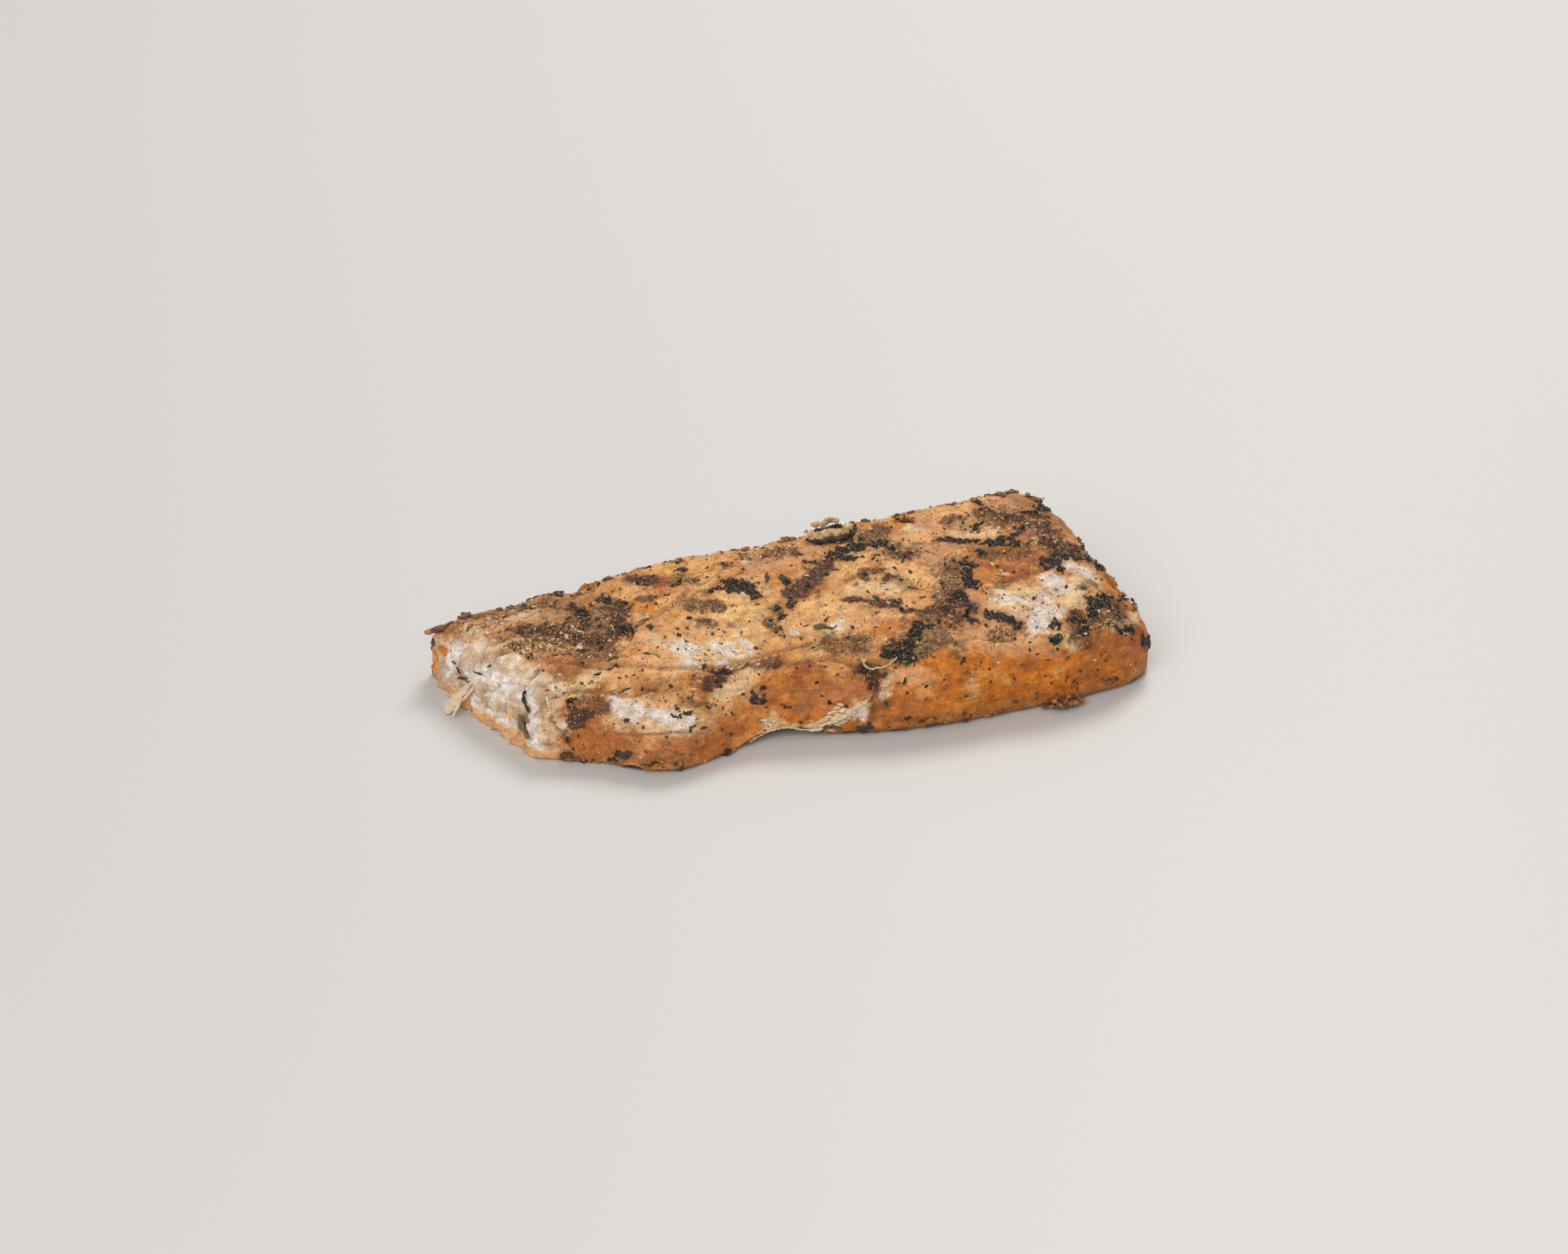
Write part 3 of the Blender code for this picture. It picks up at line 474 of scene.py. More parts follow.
GREEN_LEAVES = (
    (1.1, (0.8, -12), (3.6, -12.8)), (0.5, (3.8, -13.2), (4.6, -13.8)),
    (0.6, (-38.4, -11.4), (-36.9, -12.2)), (0.6, (-36.4, -12.7), (-34.7, -13.3)),
    (0.7, (-46.4, -9.7), (-43.4, -9.1)), (0.7, (7.8, -18.2), (10.4, -19.4)),
    (0.5, (-2.6, -17.6), (-0.6, -18.4)), (0.5, (-60.4, 1.8), (-58.4, 2.4)),
    (0.5, (-57.6, 1.6), (-55.8, 0.6)), (0.5, (-49.6, -6.4), (-48, -7.2)),
    (0.5, (-51, -5.6), (-49.6, -5)), (0.4, (-43.6, 2.6), (-42.4, 1.2)), (0.9, (43, -9.2), (46.4, -8.6)),
    (0.6, (45.4, -4.4), (47.6, -5)), (0.5, (44, 16.6), (44.4, 18)), (0.5, (-22.2, 12.4), (-20.4, 13.6)),
    (0.5, (62.4, -12.6), (63.8, -12.8)), (0.6, (5.8, -42.2), (8.2, -43)),
    (0.5, (20, -25.4), (21.8, -25)), (0.5, (16, -27.2), (17.8, -27.4)),
    (0.4, (-53.4, -14.4), (-52.4, -14.8)), (0.5, (-57, -15.2), (-56, -15.6)),
    (0.4, (-50.8, -14.4), (-50.2, -15)), (0.5, (-62, 19.4), (-60.4, 20)),
    (0.5, (-51.8, 15), (-50.8, 18)),
)
# Straw-like stems: (radius, (x, s), (x, s), ...).
STEMS = (
    (0.16, (-60.7, -12.3), (-59.2, -11.9), (-57.4, -11.5)),
    (0.22, (25.6, -5), (26.6, -3.8), (27.4, -2.6), (28.2, -1)),
    (0.2, (-3.4, -18.5), (-1.6, -17.9), (0.6, -17.5)), (0.15, (-1.8, -18.9), (0, -18.5)),
    (0.24, (8, -23.4), (8.4, -25), (9.6, -26.6), (11.6, -27.4), (13.6, -27), (15.8, -25.8)),
    (0.18, (-42.2, 3), (-41.9, 1), (-41.8, -0.6)), (0.16, (-39.8, 8), (-39.2, 6.4), (-39, 4.8)),
    (0.25, (-51.8, -4.6), (-50.6, -3.8), (-49.4, -3.2)), (0.2, (40.4, -8.8), (41, -11), (40.4, -13)),
    (0.16, (31, 0.8), (33.4, 1.2)), (0.15, (-20.6, -17.6), (-18.4, -18.4), (-16.4, -17.2)),
    (0.14, (1, -16), (3, -15.2), (4, -16.6)), (0.15, (33.6, -4), (35.4, -3.4)),
    (0.14, (46.8, 14), (49, 14.8)), (0.14, (-23.6, 16), (-22.4, 15.4)),
)
PALE_CHIPS = (
    (0.9, (-51.8, -4.6), (-49.4, -3.2)), (1.2, (-22.8, -15.4), (-20, -18)),
    (0.7, (45.6, -4.4), (47.6, -5.4)), (1.0, (-5, -12.2), (-3.4, -14)), (0.8, (-11.9, 4.2), (-11.3, 3)),
    (0.5, (-63.2, -1.2), (-62.4, -2.6)), (0.6, (-49.4, 2.6), (-48.8, 1)),
    (0.5, (-53, -0.8), (-52.4, 0.8)), (0.6, (12.8, -16), (14.4, -15.6)), (0.5, (61, 2.8), (62, 4)),
    (0.5, (57, 11.4), (58, 12.4)), (0.4, (58, 1.8), (59, 2.8)), (0.5, (-34.6, 1), (-33.4, 1.6)),
)
# Crumbs of crust: (half width, half height, (x, s), (x, s)).
CRUMBS = (
    (1.1, 0.8, (31.4, -18.2), (33.8, -15.6)), (0.9, 0.6, (30.6, 23.4), (32.8, 22)),
    (1.0, 0.6, (-70.8, 22.4), (-69.6, 24.6)), (0.7, 0.5, (-64, 22), (-62.4, 22.6)),
    (0.8, 0.5, (-50.6, 21.4), (-48.8, 22.6)), (0.6, 0.5, (-38, 22.6), (-36.6, 23)),
    (0.6, 0.5, (-21.4, 22.8), (-20.6, 23.6)), (0.6, 0.5, (-6, 24), (-4.6, 24.2)),
    (0.7, 0.5, (4, 24), (6, 24.6)), (0.7, 0.5, (55.6, 26.6), (59.6, 27.6)),
    (0.8, 0.5, (62, 26), (64.4, 24)), (0.9, 0.6, (-42, -38.6), (-39.6, -39)),
    (0.7, 0.5, (-37, -40.4), (-35, -40)), (0.8, 0.5, (-1, -40), (2, -40.6)),
    (0.7, 0.5, (20, -43.4), (23, -43.8)), (0.8, 0.5, (28, -43.8), (31, -44)),
    (0.7, 0.5, (64, -39.4), (67, -39)), (0.6, 0.5, (75.6, -19.6), (76.4, -17)),
    (0.7, 0.5, (73.2, -14.4), (74.6, -13.8)),
)
# The curled strip of crust on the far rim, and the char under and inside it:
# (radius, height, (x, s), (x, s), ...).
CURL = (
    (1.0, 1.2, (9.2, 22), (10.4, 21.1), (12.6, 20.4), (15, 20.3), (17.2, 20.7), (18.8, 21.8)),
    (0.6, 3.0, (11.2, 22.8), (12.8, 22.6), (14.2, 22.9), (15.8, 22.7)),
)
CURL_CHAR = (
    (0.6, 0.35, (10, 20.2), (12.5, 19.2), (15, 19), (17.4, 19.6), (19.4, 21), (20, 22.6)),
    (0.45, 1.9, (11, 22.4), (13.4, 22), (16.4, 22.2)),
)
# The lip of crust that overhangs the far left corner: flat flakes from point to point.
LIP = (
    (0.9, (-79.8, 22, 12.5), (-75.6, 22, 13.4)), (1.1, (-78.4, 21.6, 12.9), (-73, 21.6, 14.2)),
    (1.2, (-75.4, 21.4, 13.6), (-70, 21, 15)), (1.1, (-72.4, 21, 14.5), (-67, 21, 15.8)),
    (0.8, (-69, 21, 15.4), (-63.6, 20.6, 16.6)),
)
# Chunks of crust at the foot of the near side: (half width, x, y, z).
CHUNKS = (
    (0.7, 49.2, -27.8, 0.6), (1.3, 51.6, -28.4, 1.2), (1.6, 53.4, -29, 1.4), (1.5, 55.2, -28.9, 1.6),
    (1.2, 56.8, -28.4, 1.2),
)
# Things on the cut left end: (half width, (y, z), (y, z)).
CUT_LEAVES = (
    (0.75, (-8.4, 13), (-9.9, 12.1)), (0.85, (-10.1, 11.9), (-11.6, 10.9)),
    (0.8, (-11.8, 10.8), (-13.2, 9.7)), (0.45, (11.5, 6.5), (8.6, 7.8)), (0.45, (8.8, 7.6), (5.9, 8)),
    (0.25, (6.8, 10), (2.4, 11.3)), (0.35, (13.5, 9.7), (12.3, 9.3)), (0.3, (11, 9.4), (10.6, 8)),
    (0.45, (23.4, 10.4), (23.2, 8.4)), (0.25, (-5, 3), (-5.6, 3.2)), (0.25, (2.6, 13.4), (1.8, 13)),
)
CUT_OLIVE = ((2.1, (-10.8, 7.2), (-14.4, 4.4)),)
# Charred tips that stick out: (half width, half height, (x, s), (x, s)).
CHARRED_TIPS = (
    (0.6, 0.9, (70.6, 1.2), (72.2, -0.6)), (1.4, 0.9, (75, -26.6), (76.4, -28.8)),
    (0.8, 0.8, (-24.6, -37.6), (-22.4, -39.4)), (0.6, 0.6, (56, 27.6), (60, 28)),
    (0.5, 0.5, (-22, 21.6), (-20.6, 22.6)),
)
# The charred tip that sticks out of the right end: (half width, x, y, z).
END_TIP = ((0.6, 72.4, -10.6, 15), (0.8, 73.8, -10.4, 14.8), (0.6, 75.2, -10.2, 14.3))

# The seed of the random draws, and how many small things they strew.
SEED = 11
CHAR_GRAINS = 8500
SPICE_GRANULES = 7500
PEPPER_SPECKS = 1700
HERB_FLECKS = 260
PALE_FLECKS = 320
RIM_CRUMBS = 420
STRAY_STEMS = 46
BATCH = 50

# Points of the cube that the fillet is shaped from lie on its faces beyond this.
AT_EDGE = 0.999


def curve(knots, places):
    """Smooth curve through (place, value) knots at many places, level beyond its ends."""
    knots = np.array(knots, float)
    x, y = knots[:, 0], knots[:, 1]
    places = np.clip(places, x[0], x[-1])
    i = np.clip(np.searchsorted(x, places, side="right") - 1, 0, len(x) - 2)
    before = np.concatenate([[2 * x[0] - x[1]], x])
    before_y = np.concatenate([[y[0]], y])
    after = np.concatenate([x[1:], [2 * x[-1] - x[-2]], [0]])
    after_y = np.concatenate([y[1:], [y[-1]], [0]])
    span = x[i + 1] - x[i]
    t = (places - x[i]) / span
    rise = y[i + 1] - y[i]
    slope1 = (y[i + 1] - before_y[i]) / (x[i + 1] - before[i]) * span
    slope2 = (after_y[i + 1] - y[i]) / (after[i + 1] - x[i]) * span
    return y[i] + t * (slope1 + t * (3 * rise - 2 * slope1 - slope2 + t * (slope1 + slope2 - 2 * rise)))


def mix(start, end, share):
    return start + (end - start) * share


def soft(share):
    """1 at a share of 0, falling smoothly to 0 at a share of 1."""
    share = np.clip(share, 0, 1)
    return 1 - share * share * (3 - 2 * share)


def rising(value, low, high):
    """0 below the low value, rising smoothly to 1 above the high one."""
    return 1 - soft((value - low) / (high - low))


def thickness(x, across):
    """Height of the top over the underside, across running from -1 on the near rim to 1."""
    x, across = np.broadcast_arrays(np.asarray(x, float), np.asarray(across, float))
    stations = [station for station, _ in THICKNESS]
    heights = np.array([curve(tuple(zip(ACROSS, values)), across) for _, values in THICKNESS])
    i = np.clip(np.searchsorted(stations, x, side="right") - 1, 0, len(stations) - 2)
    t = rising(x, np.take(stations, i), np.take(stations, i + 1))
    places = np.arange(x.size)
    return mix(heights[i, places], heights[i + 1, places], t)


def rounded_section(b, c, half_width):
    """Where the points (b, c) of a square's edge lie on a box with rounded corners."""
    half_height = SECTION_HEIGHT / 2
    top_radius = mix(NEAR_TOP_RADIUS, FAR_TOP_RADIUS, np.clip(b + 0.5, 0, 1))
    radius = np.where(c > 0, top_radius, BOTTOM_RADIUS)
    y, z = b * half_width, c * half_height
    inner_y = np.clip(y, radius - half_width, half_width - radius)
    inner_z = np.clip(z, radius - half_height, half_height - radius)
    out = np.hypot(y - inner_y, z - inner_z)
    share = np.where(out > 0, radius / np.maximum(out, 1e-9), 1)
    y, z = inner_y + (y - inner_y) * share, inner_z + (z - inner_z) * share
    return y, (z + half_height) / SECTION_HEIGHT


def body_points(cube):
    """Where the points (a, b, c) of a cube from -1 to 1 lie on the plain fillet."""
    a, b, c = cube.T
    ring = np.maximum(abs(b), abs(c))
    left = curve(LEFT_END, b) - curve(LEFT_SETBACK, b) * (1 - c) / 2
    right = curve(RIGHT_END, b) - curve(RIGHT_SETBACK, b) * np.maximum(c, 0) ** 2
    x = mix(left, right, (a + 1) / 2) + END_BULGE * (1 - ring * ring) * np.maximum(a, 0) ** 8
    near, far = curve(NEAR_SIDE, x), curve(FAR_SIDE, x)
    middle, half_width = (near + far) / 2, (far - near) / 2
    b, c = b / np.maximum(ring, 1e-9), c / np.maximum(ring, 1e-9)
    y, level = rounded_section(b, c, half_width)
    y, level = y * ring, 0.5 + (level - 0.5) * ring
    to_end = np.clip((right - x) / END_ROUNDING, 0, 1)
    short = 1 - np.sqrt(1 - (1 - to_end) ** 2)
    y *= 1 - END_NARROWING * short
    level *= 1 - END_LOWERING * short
    height = thickness(x, np.clip(y / half_width, -1, 1))
    return np.column_stack([x, middle + y, level * height])


def unroll(points):
    """The places (x, s) of points on the surface, with no jump in s across the right end."""
    x, y, z = points.T
    near, far = curve(NEAR_SIDE, x), curve(FAR_SIDE, x)
    across = np.clip((y - (near + far) / 2) / ((far - near) / 2), -1, 1)
    drop = thickness(x, across) - z
    seamless = mix(1, rising(abs(across), 0, 0.35), rising(x, *RIGHT_END_FROM))
    return x, y + np.where(across > 0, drop, -drop) * seamless


def roughen(points, size, seed=0):
    """Smooth noise from -1 to 1 with lumps of a size, or of three sizes along the axes."""
    spots = points / np.asarray(size, float) + seed * 17.3
    return np.array([noise.noise(spot) for spot in spots.tolist()])


def distance_to_path(x, s, places):
    """Distance from the places (x, s) to a path of straight lines."""
    nearest = np.full(x.shape, np.inf)
    for (x1, s1), (x2, s2) in zip(places, places[1:]):
        length_squared = (x2 - x1) ** 2 + (s2 - s1) ** 2
        t = np.clip(((x - x1) * (x2 - x1) + (s - s1) * (s2 - s1)) / length_squared, 0, 1)
        nearest = np.minimum(nearest, np.hypot(x - mix(x1, x2, t), s - mix(s1, s2, t)))
    return nearest


def cover(x, s, strokes, edge):
    """How far strokes cover the places: 1 inside, fading to 0 over an edge of a share of the radius."""
    covered = np.zeros(x.shape)
    for radius, *places in strokes:
        share = distance_to_path(x, s, places) / radius
        covered = np.maximum(covered, soft((share - 1 + edge) / (2 * edge)))
    return covered


def widened(strokes, extra):
    """The strokes with a larger radius."""
    return [(radius + extra, *places) for radius, *places in strokes]


def gridded_cube(cells):
    """A cube from -1 to 1 whose faces are cut into cells along X, Y and Z."""
    mesh = bmesh.new()
    bmesh.ops.create_cube(mesh, size=2)
    for axis, count in enumerate(cells):
        along = [e for e in mesh.edges if abs(e.verts[0].co[axis] - e.verts[1].co[axis]) > 0.5]
        bmesh.ops.subdivide_edges(mesh, edges=along, cuts=count - 1, use_grid_fill=True)
    return mesh


def thin_underside(mesh):
    """Leaves the flat underside with far fewer faces than the rest."""
    under = [vertex for vertex in mesh.verts if vertex.co.z < -AT_EDGE and
             max(abs(vertex.co.x), abs(vertex.co.y)) < AT_EDGE]
    bmesh.ops.unsubdivide(mesh, verts=under, iterations=8)


def normals_of(mesh):
    mesh.normal_update()
    return np.array([vertex.normal for vertex in mesh.verts])


def place_vertices(mesh, points):
    for vertex, point in zip(mesh.verts, points.tolist()):
        vertex.co = point


def wander(points, values, seed):
    """Shifts values by noise of three sizes, so that the edges of strokes come out ragged."""
    for step, (size, reach) in enumerate(((3.4, 1.1), (1.5, 0.7), (0.8, 0.4))):
        values = values + reach * roughen(points, size, seed + step)
    return values


def painted(flesh, layers):
    """Paints layers of (colour, amount) over the flesh, one after another."""
    for colour, amount in layers:
        flesh = mix(flesh, np.array(colour), np.clip(amount, 0, 1)[:, None])
    return flesh


def plain_flesh(points, x, side, broad, middle, small, fine):
    """Tan flesh, streaked on the top and browned on the sides."""
    flesh = np.tile(np.array(TAN), (len(points), 1))
    return painted(flesh, (
        (GOLDEN, 0.5 + 0.9 * broad + 0.7 * middle),
        (LIGHT_TAN, 0.15 + 1.1 * roughen(points, (7, 2.6, 2.6), 10) + 0.5 * small),
        (RED_BROWN, -0.3 + 1.1 * roughen(points, 4, 13) + 0.6 * small),
        (BROWNED, -0.3 + 1.3 * roughen(points, (5, 1.3, 1.3), 28)),
        (CREAM, -0.4 + 1.3 * roughen(points, (4, 1.2, 1.2), 29)),
        (SIDE_PINK, side * (0.95 + 0.4 * small)),
        (SIDE_ORANGE, side * (0.5 + x / 55 + 0.5 * middle + 0.4 * broad)),
        (RED_BROWN, side * (-0.1 + 1.1 * small + 0.9 * middle)),
        (SIDE_RED, side * (-0.15 + 1.5 * roughen(points, (8, 3, 3), 26) + 0.6 * fine)),
        (GOLDEN, side * (-0.25 + 1.5 * roughen(points, (6, 4, 3.6), 27) + 0.7 * fine)),
    ))


def marked_flesh(flesh, points, x, s, ragged_x, ragged_s, dust, small, fine):
    """Paints the tones, the brown dust, the halos of the sears, painted shade along the splits and painted
    glints of light.
    """
    texture = 0.6 * fine + 0.5 * small + 0.5 * roughen(points, (3, 1.1, 1.1), 25)
    layers = []
    for colour, share, edge, strokes in TONES:
        covered = cover(ragged_x, ragged_s, strokes, edge)
        amount = share * rising(covered + 0.75 * texture, 0.15, 0.95) * rising(covered, 0, 0.2)
        layers.append((colour, amount))
    layers += [
        (DUST_BROWN, dust * (0.35 + 0.9 * fine + 0.5 * small)),
        (BROWNED, 0.7 * cover(ragged_x, ragged_s, widened(CHAR, 0.7), 0.9)),
        (SEAR_HALO, 0.9 * cover(ragged_x, ragged_s, widened(SEAR, 0.3), 0.95)),
    ]
    # Painted shade along the splits in the flesh.
    for half_width, _, places in SPLITS:
        inside = soft(distance_to_path(x, s, places) / (half_width + 0.3))
        layers.append((SMUDGE_AND_SPLIT_SHADE, 0.55 * inside * (1 + texture)))
    # Painted highlights: pale glints of light on the oily places, stronger on the left part.
    glinting = rising(roughen(points, (0.8, 0.55, 0.8), 33) + 0.4 * fine, 0.22, 0.42)
    strength = np.where(x < -50, 0.9, 0.5)
    layers += [
        (GLINT, strength * cover(ragged_x, ragged_s, GLINTING, 0.9) * glinting),
        (UNDERSIDE, 0.8 * soft(points[:, 2] / 1.6)),
    ]
    return painted(flesh, layers)


def side_share(x, s, ragged_s, cube):
    """How far each point belongs to the browned sides rather than to the top."""
    far_side = rising(s - curve(FAR_SIDE, x), -2, 4)
    near_side = rising(curve(BROWNED_BELOW, x) - ragged_s, -1, 1.4)
    right_side = rising(cube[:, 0], 0.984, AT_EDGE)
    return np.maximum(np.maximum(far_side, near_side), right_side)


def browning(points, cube, x, s):
    """Colours the flesh, and says how charred, seared, dusty, side-like and cut each point is."""
    ragged_x, ragged_s = wander(points, x, 1), wander(points, s, 4)
    broad, middle, small = roughen(points, 14, 7), roughen(points, 5, 8), roughen(points, 2.2, 9)
    fine = roughen(points, 1, 11)
    ragged = 0.5 * roughen(points, 1.7, 12) + 0.4 * fine
    side = side_share(x, s, ragged_s, cube)
    dust = rising(cover(ragged_x, ragged_s, DUSTY + CRUSTS, 0.7) + 0.6 * ragged, 0.2, 0.9)
    flesh = plain_flesh(points, x, side, broad, middle, small, fine)
    flesh = marked_flesh(flesh, points, x, s, ragged_x, ragged_s, dust, small, fine)

    reach = curve(CUT_REACH, points[:, 1]) - beyond_cut(cube)
    cut = rising(reach + 2.4 * middle + 1.8 * small + fine, -1.6, 1.6)
    flesh = mix(flesh, cut_flesh(points, middle, small, fine), cut[:, None])
    edge = soft(abs(cut - 0.3) / 0.4) * (cut > 0.01)
    flesh = painted(flesh, [(PEACH, 0.5 * edge * (1 + 0.8 * small))])

    breakup = ragged + 0.3 * roughen(points, 2.8, 23)
    charred = rising(cover(ragged_x, ragged_s, widened(CHAR, 0.2), 1) + 1.2 * breakup, 0.4, 0.65)
    seared = rising(cover(ragged_x, ragged_s, widened(SEAR, 0.2), 0.95) + 0.8 * ragged, 0.3, 0.85)
    foot = soft(abs(points[:, 2] - 0.5) / 1.5) * (0.3 + 1.7 * roughen(points, (4, 4, 2), 15))
    charred = np.maximum(charred, np.clip(foot, 0, 1))
    whole = 1 - cut
    return flesh, charred * whole, seared * whole, dust * whole, side * whole, cut


def beyond_cut(cube):
    """Distance from the edge of the cut left end: above 0 on the skin, below 0 on the cut."""
    along, across, up = cube.T
    inside = np.minimum((1 - up) * SECTION_HEIGHT / 2, (1 - abs(across)) * CUT_HALF_WIDTH)
    return np.where(along < -AT_EDGE, -inside, (along + 1) * HALF_LENGTH)


def cut_flesh(points, middle, small, fine):
    """Colours of the cut left end: creamy flesh in flakes, with painted shade in the gaps between them."""
    y, z = points[:, 1] + 0.8 * middle, points[:, 2] + 0.8 * small
    fibres = roughen(points, (30, 1.4, 6), 14)
    flesh = np.tile(np.array(COOKED_FLESH), (len(points), 1))
    return painted(flesh, (
        (CREAM_WHITE, 0.2 + 1.8 * fibres + 1.4 * middle + 0.6 * fine),
        (PINK_GREY, -0.1 + 1.7 * roughen(points, (30, 6, 5), 35) + 0.2 * fine),
        # painted shade in the recesses between the flakes
        (FLAKE_GAP_SHADE, 1.1 * soft(flakes(points) / 0.3) + 0.6 * small + 0.4 * fine - 0.1),
        (FLESH_WHITE, cover(y, z, CUT_WHITE, 0.9) * (0.9 + 1.3 * fine)),
        (PINK_GREY, cover(y, z, CUT_PINK, 0.8) * (0.8 + 0.6 * fine)),
        (GOLDEN, cover(y, z, CUT_ORANGE, 0.9) * 0.8),
        (VIVID, cover(points[:, 1], points[:, 2], CUT_DOT, 0.4)),
        (PEACH, 0.8 * soft(points[:, 2] / 3.2) * (1 + small)),
    ))


def fillet_relief(points, x, s, charred, seared, dust, side):
    """How far the surface stands out, in step with the solid's and with finer grain."""
    rise = 0.7 * roughen(points, 13) + 0.4 * roughen(points, 5) + 0.34 * roughen(points, 2.6, 16)
    rise += 0.25 * charred
    for half_width, depth, places in SPLITS:
        rise -= depth * soft(distance_to_path(x, s, places) / half_width / 1.4)
    step = soft((x - curve(SUNKEN_EDGE, s)) / 1.2) * soft((-60 - x) / 14) * (s > -14)
    rise -= SUNKEN_DEPTH * step
    grain = 0.5 + 0.7 * dust + 0.9 * charred + 0.6 * seared - 0.3 * side
    rise += grain * (0.34 * roughen(points, 1.5, 17) + 0.3 * roughen(points, 0.9, 18))
    rise += 0.25 * (1 - side) * roughen(points, (7, 2.2, 2.2), 10)
    rise += side * (0.25 * roughen(points, (6, 1.4, 1.4), 19) + 0.3 * roughen(points, (11, 3, 3), 24))
    return rise * np.clip(points[:, 2] / 3, 0, 1)


def flakes(points):
    """Where each point of the left end lies across its flake, from 0 to 1."""
    return (points[:, 1] / FLAKE_WIDTH + 0.07 * points[:, 2] + 1.3 * roughen(points, (30, 7, 8), 31)) % 1


def cut_relief(points):
    """How far the flakes of the left end stand out."""
    rise = 1.5 * flakes(points) ** 1.3 + 0.8 * roughen(points, (30, 6, 6), 20)
    rise += 0.4 * roughen(points, (30, 1.4, 3.4), 21) + 0.35 * roughen(points, (30, 1, 1), 22)
    return rise - 0.6


def draw_back_left_edge(points, left_share):
    """Draws the upper edge of the left end back into a rounded one, except under the lip."""
    x, y, z = points.T
    left = curve(LEFT_END, left_share)
    level = z / thickness(x, 0)
    back = EDGE_SETBACK * soft((x - left) / 11) * rising(level, 0.4, 1.0) * soft((y - 14) / 8)
    points[:, 0] += back


def soften_left_edge(mesh, cube):
    """Rounds the edges between the cut left end, the top and the near side."""
    near = [vertex for vertex, (along, across, up) in zip(mesh.verts, cube.tolist())
            if along < -0.92 and up > -0.9 and (up > 0.45 or across < -0.8)]
    for _ in range(EDGE_SMOOTHINGS):
        bmesh.ops.smooth_vert(mesh, verts=near, factor=0.5, use_axis_x=True, use_axis_y=True, use_axis_z=True)


def curl_foot(points):
    """Lifts the near foot off the floor where it curls up."""
    x, y, z = points.T
    centre, half_length, lift = CURLED_FOOT
    inwards = soft((y - curve(NEAR_SIDE, x)) / 10)
    points[:, 2] += lift * soft(abs(x - centre) / half_length) * inwards * soft(z / 7)


def finish(mesh, name, material, smooth=False):
    """Turns a mesh in millimetres into a piece in metres that rides on the fillet."""
    for vertex in mesh.verts:
        vertex.co.z = max(vertex.co.z, 0)
    bmesh.ops.scale(mesh, vec=(MM, MM, MM), verts=mesh.verts)
    data = bpy.data.meshes.new(name)
    mesh.to_mesh(data)
    mesh.free()
    if smooth:
        data.shade_smooth()
    data.materials.append(material)
    piece = bpy.data.objects.new(name, data)
    bpy.context.scene.collection.objects.link(piece)
    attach(piece, "root")
    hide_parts("salmon_fillet")
    return piece


def write_attribute(thing, name, kind, values):
    attribute = thing.data.attributes.new(name, kind, "POINT")
    field = "color" if kind == "FLOAT_COLOR" else "value"
    attribute.data.foreach_set(field, np.asarray(values, np.float32).ravel())


def make_fillet():
    """Makes the fillet, and keeps its points with their places and how browned they are."""
    mesh = gridded_cube(CELLS)
    thin_underside(mesh)
    cube = np.array([vertex.co for vertex in mesh.verts])
    points = body_points(cube)
    draw_back_left_edge(points, cube[:, 1])
    place_vertices(mesh, points)
    soften_left_edge(mesh, cube)
    points = np.array([vertex.co for vertex in mesh.verts])
    x, s = unroll(points)
    flesh, charred, seared, dust, side, cut = browning(points, cube, x, s)
    moves = normals_of(mesh) * fillet_relief(points, x, s, charred, seared, dust, side)[:, None]
    left_face = cube[:, 0] < -AT_EDGE
    inwards = np.clip(-beyond_cut(cube) / 2.5, 0, 1)
    moves *= (1 - inwards)[:, None]
    moves[left_face, 0] -= cut_relief(points[left_face]) * inwards[left_face]
    points = points + moves
    points[:, 2] = np.maximum(points[:, 2], 0)
    curl_foot(points)
    place_vertices(mesh, points)
    bmesh.ops.triangulate(mesh, faces=mesh.faces)
    normals = normals_of(mesh)
    fillet = finish(mesh, "fillet", fillet_material(), smooth=True)
    write_attribute(fillet, "Flesh", "FLOAT_COLOR", np.column_stack([flesh, np.ones(len(flesh))]))
    looks = {"Char": charred, "Sear": seared, "Dust": dust, "Side": side, "Cut": cut}
    for name, values in looks.items():
        write_attribute(fillet, name, "FLOAT", values)
    under = (cube[:, 2] < -AT_EDGE) & (abs(cube[:, 1]) < AT_EDGE)
    return dict(looks, points=points, normals=normals, x=x, s=s, cut_face=left_face, under=under,
                skin=~under & ~left_face)


def finder(body, across, along, allowed):
    """A search over two numbers of the body's allowed points."""
    tree = KDTree(int(allowed.sum()))
    for i in np.flatnonzero(allowed).tolist():
        tree.insert((across[i], along[i], 0), i)
    tree.balance()

    def spot(place):
        """The point of the surface at a place, and the way out of it."""
        i = tree.find((*place, 0))[1]
        return Vector(body["points"][i]), Vector(body["normals"][i])
    return spot


def add_lump(mesh, at, out, along, radii, detail=1, ragged=0.25, bend=0.0):
    """Adds a ragged lump lying along a direction on the surface, its ends bent up by bend."""
    across = out.cross(along).normalized()
    turn = Matrix((across.cross(out), across, out)).transposed()
    made = bmesh.ops.create_icosphere(mesh, subdivisions=detail, radius=1)["verts"]
    for vertex in made:
        x, y, z = vertex.co * random.uniform(1 - ragged, 1 + ragged)
        vertex.co = at + turn @ Vector((x * radii[0], y * radii[1], z * radii[2] + bend * x * x))
    return len(made)


def random_direction():
    angle = random.uniform(0, math.tau)
    return Vector((math.cos(angle), math.sin(angle), 0.02))


